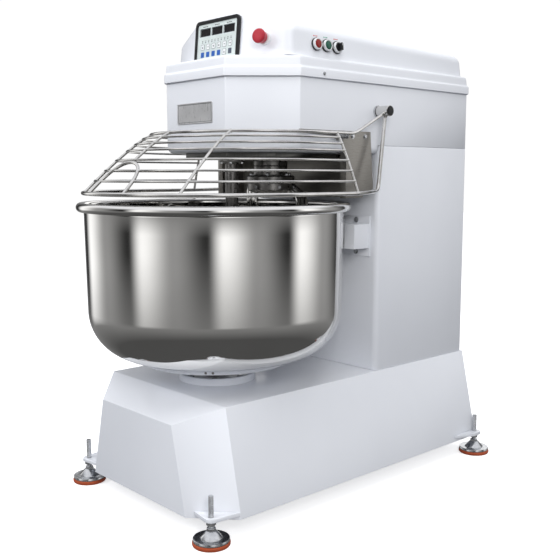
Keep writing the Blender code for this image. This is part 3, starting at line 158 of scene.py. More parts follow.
def enamel():
    """Sprayed white enamel with a faint orange peel and a slightly uneven tint."""
    look = Look("white_enamel", (0.80, 0.83, 0.89), 0.3, coat_weight=0.25, coat_roughness=0.12)
    look.tint(look.noise(3.0), [(0.35, (0.775, 0.795, 0.845)), (0.65, (0.81, 0.83, 0.88))])
    look.gloss(look.noise(18.0), 0.28, 0.38)
    return look.bump(look.noise(420.0, 1.0), 0.00006, 0.5)


def polished_steel():
    """Spun and polished stainless steel, with fine turning marks round the axis."""
    look = Look("polished_steel", (0.80, 0.79, 0.77), 0.06, 1.0, anisotropic=0.4)
    marks = look.radial_noise(900.0)
    look.tint(look.noise(7.0), [(0.3, (0.78, 0.77, 0.75)), (0.7, (0.84, 0.83, 0.81))])
    look.gloss(marks, 0.035, 0.075)
    tangent = look.tree.nodes.new("ShaderNodeTangent")
    tangent.direction_type = "RADIAL"
    tangent.axis = "Z"
    look.tree.links.new(tangent.outputs[0], look.shader.inputs["Tangent"])
    return look.bump(marks, 0.000006, 0.5)


def drawn_steel():
    """Bright drawn wire and bar, a little duller than the bowl."""
    look = Look("drawn_steel", (0.70, 0.69, 0.67), 0.14, 1.0)
    look.tint(look.noise(40.0), [(0.3, (0.64, 0.63, 0.61)), (0.7, (0.76, 0.75, 0.73))])
    look.gloss(look.noise(150.0), 0.10, 0.20)
    return look.bump(look.noise(600.0, 2.0), 0.000015, 0.4)


def brushed_steel(name, stretch, dark, light):
    """Satin sheet, brushed along one direction."""
    look = Look(name, light, 0.32, 1.0)
    grain = look.noise(14.0, 6.0, stretch)
    look.tint(grain, [(0.3, dark), (0.7, light)])
    look.gloss(grain, 0.26, 0.42)
    return look.bump(grain, 0.00004, 0.6)


def zinc():
    """Bright zinc plating."""
    look = Look("zinc_steel", (0.62, 0.63, 0.64), 0.22, 1.0)
    look.tint(look.noise(60.0), [(0.3, (0.50, 0.51, 0.53)), (0.7, (0.70, 0.71, 0.72))])
    look.gloss(look.noise(90.0), 0.14, 0.30)
    return look.bump(look.noise(800.0), 0.00002, 0.4)


def dark_steel():
    """Dull, oiled steel of the hub and its collar."""
    look = Look("oiled_steel", (0.24, 0.235, 0.225), 0.3, 1.0)
    look.tint(look.noise(35.0), [(0.3, (0.16, 0.155, 0.15)), (0.7, (0.32, 0.31, 0.30))])
    look.gloss(look.noise(70.0), 0.2, 0.42)
    return look.bump(look.noise(500.0), 0.00004, 0.5)


def cast_iron():
    """Painted cast iron with a sandy surface."""
    look = Look("cast_iron", (0.12, 0.12, 0.13), 0.6, 0.4)
    look.tint(look.noise(30.0), [(0.3, (0.09, 0.09, 0.10)), (0.7, (0.16, 0.16, 0.17))])
    look.gloss(look.noise(80.0), 0.5, 0.72)
    return look.bump(look.noise(350.0, 4.0), 0.0003, 0.6)


def moulded(name, dark, light, roughness, relief=0.00006):
    """Moulded plastic or rubber with a fine texture."""
    look = Look(name, light, roughness)
    look.tint(look.noise(45.0), [(0.3, dark), (0.7, light)])
    look.gloss(look.noise(160.0), roughness - 0.06, roughness + 0.08)
    return look.bump(look.noise(900.0, 2.0), relief, 0.6)


def aluminium():
    """Satin anodised plate with a straight grain."""
    look = Look("plain_aluminium", (0.72, 0.72, 0.73), 0.36, 0.7)
    grain = look.noise(10.0, 6.0, (60.0, 4.0, 4.0))
    look.tint(look.noise(20.0), [(0.3, (0.66, 0.66, 0.67)), (0.7, (0.78, 0.78, 0.79))])
    look.gloss(grain, 0.26, 0.40)
    return look.bump(grain, 0.00003, 0.5)


LOOKS = {
    "enamel": enamel(),
    "polished": polished_steel(),
    "drawn": drawn_steel(),
    "plate": brushed_steel("plate_steel", (3.0, 3.0, 160.0), (0.28, 0.265, 0.245), (0.38, 0.365, 0.34)),
    "tray": brushed_steel("tray_steel", (3.0, 120.0, 3.0), (0.13, 0.13, 0.125), (0.21, 0.21, 0.20)),
    "zinc": zinc(),
    "dark": dark_steel(),
    "iron": cast_iron(),
    "black": moulded("black_plastic", (0.004, 0.004, 0.005), (0.009, 0.009, 0.011), 0.34),
    "nylon": moulded("roller_nylon", (0.07, 0.07, 0.075), (0.12, 0.12, 0.13), 0.45),
    "rubber": moulded("foot_rubber", (0.36, 0.065, 0.022), (0.46, 0.09, 0.032), 0.62, 0.00012),
    "belt": moulded("belt_rubber", (0.015, 0.015, 0.015), (0.035, 0.035, 0.035), 0.75, 0.00015),
    "film": moulded("keypad_film", (0.60, 0.67, 0.66), (0.68, 0.74, 0.73), 0.42, 0.00002),
    "ink": moulded("printed_ink", (0.03, 0.035, 0.045), (0.06, 0.065, 0.08), 0.5, 0.00001),
    "white_key": moulded("white_key", (0.74, 0.77, 0.78), (0.82, 0.84, 0.85), 0.4, 0.00002),
    "blue_key": moulded("blue_key", (0.012, 0.08, 0.33), (0.02, 0.11, 0.42), 0.4, 0.00002),
    "grey_key": moulded("grey_key", (0.07, 0.085, 0.12), (0.11, 0.13, 0.17), 0.4, 0.00002),
    "screen": moulded("display_window", (0.004, 0.004, 0.005), (0.009, 0.009, 0.011), 0.12, 0.00001),
    "segment": moulded("display_segment", (0.010, 0.007, 0.008), (0.014, 0.010, 0.011), 0.2, 0.00001),
    "red": moulded("red_plastic", (0.36, 0.016, 0.03), (0.44, 0.024, 0.04), 0.36, 0.00003),
    "red_lens": moulded("red_lens", (0.20, 0.010, 0.008), (0.27, 0.015, 0.012), 0.24, 0.00002),
    "green_lens": moulded("green_lens", (0.010, 0.075, 0.048), (0.016, 0.105, 0.068), 0.24, 0.00002),
    "white_ring": moulded("white_ring", (0.70, 0.71, 0.73), (0.80, 0.81, 0.83), 0.35, 0.00003),
    "red_ink": moulded("red_ink", (0.60, 0.10, 0.10), (0.70, 0.15, 0.14), 0.5, 0.00001),
    "green_ink": moulded("green_ink", (0.10, 0.40, 0.28), (0.15, 0.50, 0.35), 0.5, 0.00001),
    "aluminium": aluminium(),
}


# Meshes


def bridge(bm, rings, loop=False):
    """Joins rings of vertices with faces; a ring of one vertex is a pole."""
    pairs = list(zip(rings, rings[1:]))
    if loop:
        pairs.append((rings[-1], rings[0]))
    for low, high in pairs:
        count = max(len(low), len(high))
        if count == 1:
            continue
        for i in range(count):
            j = (i + 1) % count
            if len(low) == 1:
                bm.faces.new((low[0], high[j], high[i]))
            elif len(high) == 1:
                bm.faces.new((low[i], low[j], high[0]))
            else:
                bm.faces.new((low[i], low[j], high[j], high[i]))


def lathe(bm, profile, place, steps=48, loop=False):
    """Turns (radius, height) points about the place's Z axis."""
    rings = []
    for radius, height in profile:
        if radius < 1e-6:
            rings.append([bm.verts.new(place @ Vector((0.0, 0.0, height)))])
            continue
        ring = []
        for step in range(steps):
            turn = 2 * math.pi * step / steps
            ring.append(
                bm.verts.new(
                    place @ Vector((radius * math.cos(turn), radius * math.sin(turn), height))
                )
            )
        rings.append(ring)
    bridge(bm, rings, loop)


def sweep(bm, points, radius, sides=12, round_ends=True):
    """A round bar along points, with rounded or flat ends."""
    path = [Vector(p) for p in points]
    normal = None
    rings = []
    frames = []

    def ring(point, tangent, normal, size):
        across = tangent.cross(normal)
        made = []
        for step in range(sides):
            turn = 2 * math.pi * step / sides
            offset = normal * math.cos(turn) + across * math.sin(turn)
            made.append(bm.verts.new(point + offset * size))
        return made

    for i, point in enumerate(path):
        ahead = path[min(i + 1, len(path) - 1)] - path[max(i - 1, 0)]
        tangent = ahead.normalized()
        if normal is None:
            helper = UP if abs(tangent.z) < 0.9 else Vector((1.0, 0.0, 0.0))
            normal = tangent.cross(helper).normalized()
        normal = (normal - tangent * normal.dot(tangent)).normalized()
        frames.append((point, tangent, normal))
    caps = (0.35, 0.75, 0.95) if round_ends else ()
    first, last = frames[0], frames[-1]
    rings.append([bm.verts.new(first[0] - first[1] * (radius if round_ends else 0.0))])
    for share in reversed(caps):
        size = radius * math.sqrt(1.0 - share * share)
        rings.append(ring(first[0] - first[1] * radius * share, first[1], first[2], size))
    for point, tangent, normal in frames:
        rings.append(ring(point, tangent, normal, radius))
    for share in caps:
        size = radius * math.sqrt(1.0 - share * share)
        rings.append(ring(last[0] + last[1] * radius * share, last[1], last[2], size))
    rings.append([bm.verts.new(last[0] + last[1] * (radius if round_ends else 0.0))])
    bridge(bm, rings)


def prism(bm, outline, place, low, high):
    """A flat outline given a thickness along the place's Z axis."""
    bottom = [bm.verts.new(place @ Vector((x, y, low))) for x, y in outline]
    top = [bm.verts.new(place @ Vector((x, y, high))) for x, y in outline]
    bridge(bm, [bottom, top])
    bm.faces.new(top)
    bm.faces.new(list(reversed(bottom)))


def band(bm, place, edge, hole, low, high):
    """A flat frame between two outlines."""
    rings = []
    for points, z in ((edge, low), (edge, high), (hole, high), (hole, low)):
        rings.append([bm.verts.new(place @ Vector((x, y, z))) for x, y in points])
    bridge(bm, rings, loop=True)


def blob(bm, point, radius):
    """A small bead of weld."""
    place = Matrix.Translation(point)
    bmesh.ops.create_icosphere(bm, subdivisions=2, radius=radius, matrix=place)


def piece(name, bm, look, body, replaces=(), sharp=35.0, bevel=None):
    """Turns a bmesh into a shown piece that rides on a body."""
    bmesh.ops.recalc_face_normals(bm, faces=bm.faces)
    mesh = bpy.data.meshes.new(name)
    bm.to_mesh(mesh)
    bm.free()
    mesh.shade_smooth()
    if bevel is None:
        mesh.set_sharp_from_angle(angle=math.radians(sharp))
    made = bpy.data.objects.new(name, mesh)
    bpy.context.scene.collection.objects.link(made)
    mesh.materials.append(LOOKS[look].material)
    if bevel is not None:
        width, segments = bevel
        add_bevel(made, width, segments)
    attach(made, body)
    if replaces:
        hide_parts(*replaces)
    return made


def add_bevel(made, width, segments):
    """Rounds the sharp edges of a piece."""
    change = made.modifiers.new("round_edges", "BEVEL")
    change.width = width
    change.segments = segments
    change.limit_method = "ANGLE"
    change.angle_limit = math.radians(32)
    change.harden_normals = True


def body_of(node):
    """The name of the body that a CAD node belongs to."""
    groups = frame["record"]["behaviour"]["bodies"]
    return next(body for body, members in groups.items() if node in members)


def refined(node, look, width, segments=3, weight=None):
    """A CAD node's own shape with its flat faces joined up and its edges rounded."""
    bm = bmesh.new()
    bm.from_mesh(NODES[node].data)
    bmesh.ops.remove_doubles(bm, verts=bm.verts, dist=0.00001)
    bmesh.ops.dissolve_limit(bm, angle_limit=math.radians(1), verts=bm.verts, edges=bm.edges)
    if weight is not None:
        layer = bm.edges.layers.float.new("bevel_weight_edge")
        for edge in bm.edges:
            if len(edge.link_faces) == 2 and edge.calc_face_angle() > math.radians(4):
                edge[layer] = weight(edge)
    made = piece(
        node + "_shell", bm, look, body_of(node), [node], bevel=(width, segments)
    )
    if weight is not None:
        made.modifiers["round_edges"].limit_method = "WEIGHT"
    return made


def dress(node, look):
    """A CAD node that stays, with its finish."""
    thing = NODES[node]
    thing.data.materials.clear()
    thing.data.materials.append(LOOKS[look].material)


# Places and paths


def facing(point, normal):
    """A place whose Z axis is the normal, with its Y axis as near to straight up as it gets."""
    out = Vector(normal).normalized()
    if abs(out.z) > 0.999:
        return Matrix.Translation(point)
    side = UP.cross(out).normalized()
    turn = Matrix((side, out.cross(side), out)).transposed().to_4x4()
    return Matrix.Translation(point) @ turn


def seat(node, normal=UP):
    """The place under the middle of a CAD node, facing a normal, and the node's size there."""
    turn = facing((0.0, 0.0, 0.0), normal)
    back = turn.inverted()
    points = [back @ v.co for v in NODES[node].data.vertices]
    low = Vector(min(p[i] for p in points) for i in range(3))
    high = Vector(max(p[i] for p in points) for i in range(3))
    middle = (low + high) / 2
    middle.z = low.z
    return Matrix.Translation(turn @ middle) @ turn, high - low


def compass(bearing):
    """The level direction at a bearing in degrees."""
    turn = math.radians(bearing)
    return Vector((math.cos(turn), math.sin(turn), 0.0))


def arc(centre, radius, start, end, count):
    """Points of an arc in a plane, from one angle to another, in degrees."""
    angles = [math.radians(start + (end - start) * i / count) for i in range(count + 1)]
    return [(centre[0] + radius * math.cos(a), centre[1] + radius * math.sin(a)) for a in angles]


def rectangle(half_width, half_height, radius, count=4, centre=(0.0, 0.0)):
    """A rounded rectangle, counter-clockwise."""
    points = []
    corners = ((1, -1, -90), (1, 1, 0), (-1, 1, 90), (-1, -1, 180))
    for side, rise, start in corners:
        x = centre[0] + side * (half_width - radius)
        y = centre[1] + rise * (half_height - radius)
        points += arc((x, y), radius, start, start + 90, count)
    return points


def bend(points, radii, count=6):
    """A path whose corners are rounded off."""
    path = [Vector(p) for p in points]
    made = [path[0]]
    for i in range(1, len(path) - 1):
        before = path[i - 1] - path[i]
        after = path[i + 1] - path[i]
        reach = min(radii[i - 1], before.length * 0.49, after.length * 0.49)
        start = path[i] + before.normalized() * reach
        end = path[i] + after.normalized() * reach
        for step in range(count + 1):
            t = step / count
            made.append(start * (1 - t) ** 2 + path[i] * (2 * t * (1 - t)) + end * t**2)
    return made + [path[-1]]


def smooth_path(points, per_span=5):
    """A finer path through the points, as a Catmull-Rom curve."""
    path = [Vector(p) for p in points]
    path = [path[0] * 2 - path[1]] + path + [path[-1] * 2 - path[-2]]
    made = []
    for a, b, c, d in zip(path, path[1:], path[2:], path[3:]):
        for step in range(per_span):
            t = step / per_span
            made.append(
                0.5
                * (
                    b * 2
                    + (c - a) * t
                    + (a * 2 - b * 5 + c * 4 - d) * t**2
                    + (b * 3 - a - c * 3 + d) * t**3
                )
            )
    return made + [path[-2]]


# Fasteners


def dome_head(bm, place, radius, height):
    """A pan-head screw with a round drive recess."""
    profile = [(radius, 0.0), (radius, height * 0.35)]
    profile += [(radius * 0.9, height * 0.7), (radius * 0.62, height), (radius * 0.34, height)]
    profile += [(radius * 0.28, height * 0.5), (0.0, height * 0.45)]
    lathe(bm, profile, place, 20)


def hex_head(bm, place, across, height, washer=1.35):
    """A hexagon bolt head on a washer."""
    radius = across / math.sqrt(3)
    rim = radius * washer
    lathe(bm, [(rim, 0.0), (rim, height * 0.22), (0.0, height * 0.22)], place, 24)
    lathe(
        bm,
        [(radius, height * 0.2), (radius, height * 0.9), (radius * 0.88, height), (0.0, height)],
        place,
        6,
    )


def socket_head(bm, place, radius, height):
    """A socket-head cap screw with a round recess."""
    lathe(
        bm,
        [
            (radius, 0.0),
            (radius, height * 0.85),
            (radius * 0.9, height),
            (radius * 0.52, height),
            (radius * 0.52, height * 0.4),
            (0.0, height * 0.4),
        ],
        place,
        24,
    )


def threaded(bm, place, radius, depth, pitch, low, high, sides=20, per_turn=6):
    """A threaded bar whose crest winds round it."""
    rings = [[bm.verts.new(place @ Vector((0.0, 0.0, low)))]]
    count = int((high - low) / pitch * per_turn)
    for i in range(count + 1):
        z = low + (high - low) * i / count
        ring = []
        for step in range(sides):
            turn = 2 * math.pi * step / sides
            phase = (z / pitch - step / sides) % 1.0
            fade = min(1.0, (high - z) / pitch)
            size = radius - depth * (1.0 - abs(2.0 * phase - 1.0) * fade)
            ring.append(
                bm.verts.new(place @ Vector((size * math.cos(turn), size * math.sin(turn), z)))
            )
        rings.append(ring)
    rings.append([bm.verts.new(place @ Vector((0.0, 0.0, high)))])
    bridge(bm, rings)


# Driving places, read from the frame

BOWL_LOW, BOWL_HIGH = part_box("bowl")
BOWL_AXIS = Vector(((BOWL_LOW.x + BOWL_HIGH.x) / 2, (BOWL_LOW.y + BOWL_HIGH.y) / 2, 0.0))
BOWL_Y = BOWL_AXIS.y
RIM_RADIUS = (BOWL_HIGH.x - BOWL_LOW.x) / 2
RIM_TUBE = 0.0115
RIM_Z = BOWL_HIGH.z - RIM_TUBE
WALL_RADIUS = RIM_RADIUS - 0.019
LOW_WALL_RADIUS = WALL_RADIUS - 0.004
WALL = 0.003
CORNER = 0.126
HUB_LOW, HUB_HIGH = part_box("hook_hub")
SPINDLE = Vector(((HUB_LOW.x + HUB_HIGH.x) / 2, (HUB_LOW.y + HUB_HIGH.y) / 2, 0.0))
HEAD_LOW, HEAD_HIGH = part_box("head_housing")
COVER_LOW, COVER_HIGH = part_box("top_cover")
PIVOT = Vector(JOINTS["guard_tilt"]["pos_m"])


# Base, column, head


def top_bend(edge):
    """The bend between the base's slope and its top is rounder than its other edges."""
    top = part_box("base_housing")[1].z
    near_top = all(v.co.z > top - 0.004 for v in edge.verts)
    across = abs(edge.verts[0].co.y - edge.verts[1].co.y) < 0.002
    front = edge.verts[0].co.y < BOWL_Y
    return 1.0 if near_top and across and front else 0.22


def panels():
    """The sprayed sheet-metal shells."""
    refined("base_housing", "enamel", 0.014, 5, top_bend)
    refined("column_housing", "enamel", 0.0012)
    refined("rear_cover", "enamel", 0.0006)
    refined("head_housing", "enamel", 0.0012)
    for end in ("front", "rear"):
        for side in ("left", "right"):
            refined(f"foot_bracket_{end}_{side}", "enamel", 0.0016)
    for side in ("left", "right"):
        refined(f"roller_bracket_{side}", "enamel", 0.0008)


def mirrored(points):
    """A symmetric outline from its right half, listed from the front to the rear."""
    return list(points) + [(-x, y) for x, y in reversed(points)]


def rounded(points, radii, count):
    """An outline whose corners become arcs; a corner with no radius stays sharp."""
    result = []
    total = len(points)
    for i, (corner, radius) in enumerate(zip(points, radii)):
        here = Vector(corner)
        if radius == 0.0:
            result.append(here)
            continue
        before = (Vector(points[i - 1]) - here).normalized()
        after = (Vector(points[(i + 1) % total]) - here).normalized()
        half = before.angle(after) / 2
        centre = here + (before + after).normalized() * (radius / math.sin(half))
        start = here + before * (radius / math.tan(half)) - centre
        sweep_angle = (math.pi - 2 * half) * math.copysign(1.0, before.cross(after) * -1)
        for step in range(count + 1):
            turn = Matrix.Rotation(sweep_angle * step / count, 2)
            result.append(centre + turn @ start)
    return result


def inset(points, distances):
    """Moves the corners of a counter-clockwise outline inwards, each by its own distance."""
    result = []
    total = len(points)
    for i in range(total):
        here = Vector(points[i])
        before = (here - Vector(points[i - 1])).normalized()
        after = (Vector(points[(i + 1) % total]) - here).normalized()
        inward = Vector((-before.y, before.x))
        bisector = (inward + Vector((-after.y, after.x))).normalized()
        result.append(here + bisector * (distances[i] / bisector.dot(inward)))
    return result


FOOT_Z = 1.113  # where the hood stands on the ledge
SHOULDER_Z = 1.200
TOP_ROUND = 0.030
FALL = 0.020  # towards the rear
CROWN = 0.034  # towards each side
HOOD_FRONT_X = 0.095
HOOD_SIDE_X = 0.226
HOOD_FRONT_Y = BOWL_Y + 0.010
HOOD_REAR_Y = BOWL_Y + 0.742
SKIRT_OUTLINE = mirrored(
    [
        (0.120, HEAD_LOW.y),
        (HEAD_HIGH.x, BOWL_Y + 0.071),
        (HEAD_HIGH.x, HEAD_HIGH.y),
        (HOOD_FRONT_X, HEAD_HIGH.y),
    ]
)
HOOD_OUTLINE = mirrored(
    [
        (HOOD_FRONT_X, HOOD_FRONT_Y),
        (HOOD_SIDE_X, BOWL_Y + 0.052),
        (HOOD_SIDE_X, HOOD_REAR_Y),
        (HOOD_FRONT_X, HOOD_REAR_Y),
    ]
)
SKIRT_RADII = (0.010, 0.010, 0.014, 0.0, 0.0, 0.014, 0.010, 0.010)
HOOD_RADII = (0.020, 0.026, 0.014, 0.0, 0.0, 0.014, 0.026, 0.020)
PLAN_STEPS = 8


def skirt_rings():
    """The cover's lipped skirt and its ledge, as rings of points."""
    out = COVER_HIGH.x - HEAD_HIGH.x
    low = COVER_LOW.z
    lip = [(out - 0.0015, 0.0), (out, 0.0015), (out, 0.019), (out - 0.0007, 0.0215)]
    lip += [(out - 0.0018, 0.0235), (out - 0.0030, 0.0245), (0.0026, 0.0252), (0.0020, 0.0265)]
    lip += [(0.0016, 0.029), (0.0006, 0.040), (-0.0002, 0.0450), (-0.0012, 0.0476)]
    lip += [(-0.0028, 0.0489), (-0.0034, 0.0492)]
    rings = []
    for reach, rise in lip:
        outline = inset(SKIRT_OUTLINE, [-reach] * len(SKIRT_OUTLINE))
        rings.append([(x, y, low + rise) for x, y in rounded(outline, SKIRT_RADII, PLAN_STEPS)])
    return rings


def hood_ring(z, dropped, inwards):
    """A ring of the hood: on its leaning walls up to the shoulder, further inwards above it."""
    heights = []
    distances = []
    for x, y in HOOD_OUTLINE:
        across = (abs(x) - HOOD_FRONT_X) / (HOOD_SIDE_X - HOOD_FRONT_X)
        along = (y - HOOD_FRONT_Y) / (HOOD_REAR_Y - HOOD_FRONT_Y)
        drop = dropped * (CROWN * across + FALL * along)
        wall_top = min(z, SHOULDER_Z) - drop
        heights.append(z - drop)
        distances.append((wall_top - FOOT_Z) * math.tan(LEAN) + inwards)
    spread = []
    for height, radius in zip(heights, HOOD_RADII):
        spread += [height] * (PLAN_STEPS + 1 if radius else 1)
    points = rounded(inset(HOOD_OUTLINE, distances), HOOD_RADII, PLAN_STEPS)
    return [(x, y, height) for (x, y), height in zip(points, spread)]


def hood():
    """The moulded cover: a lipped skirt, a ledge and a leaning hood with a crowned top."""
    rings = skirt_rings()
    for inwards, z in ((-0.0020, FOOT_Z - 0.0014), (-0.0008, FOOT_Z)):
        rings.append(hood_ring(z, 0.0, inwards))
    rings.append(hood_ring(FOOT_Z + 0.002, 0.0, 0.0))
    for share in (0.25, 0.5, 0.75, 1.0):
        rings.append(hood_ring(FOOT_Z + (SHOULDER_Z - FOOT_Z) * share, share, 0.0))
    for step in range(1, 10):
        turn = math.radians(10.0 * step)
        z = SHOULDER_Z + (COVER_HIGH.z - SHOULDER_Z) * math.sin(turn)
        rings.append(hood_ring(z, 1.0, TOP_ROUND * (1.0 - math.cos(turn))))
    front_x = rings[-1][PLAN_STEPS][0]
    side_x = max(x for x, y, z in rings[-1])
    crown_ring = []
    for x, y, z in hood_ring(COVER_HIGH.z, 1.0, TOP_ROUND + 0.012):
        across = max(0.0, (abs(x) - front_x) / (side_x - front_x))
        along = (y - HOOD_FRONT_Y) / (HOOD_REAR_Y - HOOD_FRONT_Y)
        crown_ring.append((x, y, COVER_HIGH.z - CROWN * across - FALL * along - 0.0002))
    rings.append(crown_ring)
    bm = bmesh.new()
    levels = [[bm.verts.new(point) for point in ring] for ring in rings]
    bridge(bm, levels)
    top = levels[-1]
    half = len(top) // 2
    bm.faces.new(top[: PLAN_STEPS + 1] + top[half - 1 : half + 1] + top[-PLAN_STEPS - 1 :])
    bm.faces.new(top[PLAN_STEPS:half])
    bm.faces.new(top[half:-PLAN_STEPS])
    made = piece("hood", bm, "enamel", "machine", ["top_cover"], sharp=40.0)
    wall = made.modifiers.new("wall", "SOLIDIFY")
    wall.thickness = 0.003
    wall.offset = -1.0


def steel_sheets():
    """The tray, the splash cover and the side plates."""
    refined("head_bottom_tray", "tray", 0.0010)
    refined("splash_cover", "plate", 0.0005, 2)
    for side in ("left", "right"):
        refined(f"side_plate_{side}", "plate", 0.0006, 2)


def badge():
    """A plain plate with a raised rim and a sunk field."""
    place, size = seat("badge_plate", Vector((0.0, -1.0, 0.0)))
    half_x, half_y = size.x / 2, size.y / 2
    bm = bmesh.new()
    levels = (
        (0.0, 0.0),
        (0.0, 0.0016),
        (0.0004, 0.0020),
        (0.0022, 0.0020),
        (0.0028, 0.0012),
    )
    rings = []
    for inwards, z in levels:
        outline = rectangle(half_x - inwards, half_y - inwards, 0.0030 - inwards * 0.9)
        rings.append([bm.verts.new(place @ Vector((x, y, z))) for x, y in outline])
    bridge(bm, rings)
    bm.faces.new(rings[-1])
    bm.faces.new(list(reversed(rings[0])))
    piece("badge", bm, "aluminium", "machine", ["badge_plate"])
    bm = bmesh.new()
    outline = rectangle(half_x - 0.0034, half_y - 0.0034, 0.0006)
    inner = rectangle(half_x - 0.0044, half_y - 0.0044, 0.0006)
    band(bm, place, outline, inner, 0.0012, 0.00135)
    piece("badge_line", bm, "ink", "machine")


# Bowl


def bowl():
    """The spun bowl, from the middle of its inside over the rolled rim to its underside."""
    bottom = BOWL_LOW.z
    corner = (LOW_WALL_RADIUS - CORNER, bottom + CORNER)
    inner_corner = arc(corner, CORNER - WALL, -90, 0, 20)
    outer_corner = arc(corner, CORNER, 0, -90, 20)
    inside = WALL_RADIUS - WALL
    rim = arc((RIM_RADIUS - RIM_TUBE, RIM_Z), RIM_TUBE, 168, -150, 28)
    profile = [(0.0, bottom + WALL), (0.06, bottom + WALL), (0.12, bottom + WALL)] + inner_corner
    profile += [(inside - 0.0008, RIM_Z - 0.06), (inside, RIM_Z - 0.02), (inside, RIM_Z - 0.004)]
    profile += rim + [(WALL_RADIUS + 0.0006, RIM_Z - 0.011), (WALL_RADIUS, RIM_Z - 0.014)]
    profile += [(WALL_RADIUS - 0.0007, RIM_Z - 0.06)] + outer_corner
    profile += [(0.10, bottom), (0.0, bottom)]
    bm = bmesh.new()
    lathe(bm, list(reversed(profile)), Matrix(), 144)
    made = piece("spun_bowl", bm, "polished", "bowl_body", ["bowl"], sharp=60.0)
    made.location = BOWL_AXIS
    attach(made, "bowl_body")


def bowl_support():
    """The white ring under the bowl with its screws, and the drive flange with its bolts."""
    low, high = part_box("bowl_support_ring")
    radius = high.x
    place = Matrix.Translation(BOWL_AXIS)
    bm = bmesh.new()
    slope = 0.0042
    lathe(
        bm,
        [
            (radius - 0.001, high.z),
            (radius, high.z - 0.0012),
            (radius - slope + 0.0006, low.z + 0.0012),
            (radius - slope - 0.0006, low.z),
            (0.030, low.z),
            (0.030, high.z),
        ],
        place,
        96,
        loop=True,
    )
    support = ["bowl_support_ring"]
    piece("support_ring", bm, "enamel", "bowl_body", support, sharp=50.0)
    bm = bmesh.new()
    for bearing in (-157.0, -97.0, -46.0, -41.0, 17.0, 77.0, 137.0):
        out = (compass(bearing) - UP * 0.30).normalized()
        point = BOWL_AXIS + compass(bearing) * (radius - 0.0023)
        point.z = (low.z + high.z) / 2
        socket_head(bm, facing(point, out), 0.0030, 0.0024)
    piece("support_screws", bm, "dark", "bowl_body")
    shaft_low, shaft_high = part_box("bowl_shaft")
    flange = shaft_high.x
    bm = bmesh.new()
    lathe(
        bm,
        [
            (0.0, shaft_high.z),
            (flange - 0.001, shaft_high.z),
            (flange, shaft_high.z - 0.001),
            (flange, shaft_high.z - 0.013),
            (flange - 0.001, shaft_high.z - 0.014),
            (0.034, shaft_high.z - 0.014),
            (0.030, shaft_high.z - 0.018),
            (0.030, shaft_low.z + 0.001),
            (0.029, shaft_low.z),
            (0.0, shaft_low.z),
        ],
        place,
        64,
    )
    piece("drive_shaft", bm, "dark", "bowl_body", ["bowl_shaft"])
    bm = bmesh.new()
    for group in range(8):
        point = BOWL_AXIS + compass(45.0 * group + 8.0) * 0.062
        point.z = shaft_high.z - 0.014
        hex_head(bm, Matrix.Translation(point) @ UPSIDE_DOWN, 0.013, 0.006, 1.2)
    piece("flange_bolts", bm, "zinc", "bowl_body")


def neck():
    """The white bearing neck on the base: an open cup with bolts on its floor."""
    low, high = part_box("bowl_bearing_housing")
    base_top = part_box("base_housing")[1].z
    radius = high.x
    bore = 0.0303
    cartridge = 0.058
    cup_radius = radius - 0.007
    floor_z = high.z - 0.010
    bm = bmesh.new()
    lathe(
        bm,
        [
            (cup_radius, floor_z),
            (cup_radius, high.z - 0.0012),
            (cup_radius + 0.0012, high.z),
            (radius - 0.0016, high.z),
            (radius - 0.0005, high.z - 0.0006),
            (radius, high.z - 0.0018),
            (radius, base_top + 0.0045),
            (radius, base_top + 0.0004),
            (cartridge, base_top + 0.0004),
            (cartridge, low.z),
            (bore, low.z),
            (bore, floor_z),
        ],
        Matrix.Translation(BOWL_AXIS),
        96,
        loop=True,
    )
    piece("bowl_neck", bm, "enamel", "machine", ["bowl_bearing_housing"])
    bm = bmesh.new()
    for number in range(6):
        point = BOWL_AXIS + compass(60.0 * number - 44.0) * 0.074
        point.z = floor_z
        hex_head(bm, Matrix.Translation(point), 0.014, 0.006, 1.25)
    piece("neck_bolts", bm, "zinc", "machine")


# Hook


HOOK_ROD = 0.016
HOOK_RADIUS = 0.088
STAY_RADIUS = 0.050
HOOK_FOOT_RADIUS = 0.056
HOOK_REACH = CORNER - WALL - HOOK_ROD - 0.006  # from the middle of the bowl's corner
HOOK_SHIFT = LOW_WALL_RADIUS - CORNER - (SPINDLE.y - BOWL_Y)


def hook_radius(z):
    """How far out the spiral may run at a height, so that it stays clear of the bowl's corner."""
    depth = max(0.0, BOWL_LOW.z + CORNER - z)
    return min(HOOK_RADIUS, HOOK_SHIFT + math.sqrt(max(0.0, HOOK_REACH**2 - depth**2)))


def round_spindle(radius, angle, z):
    """A point at a radius and an angle from the spindle's axis."""
    return SPINDLE + Vector((radius * math.cos(angle), radius * math.sin(angle), z))


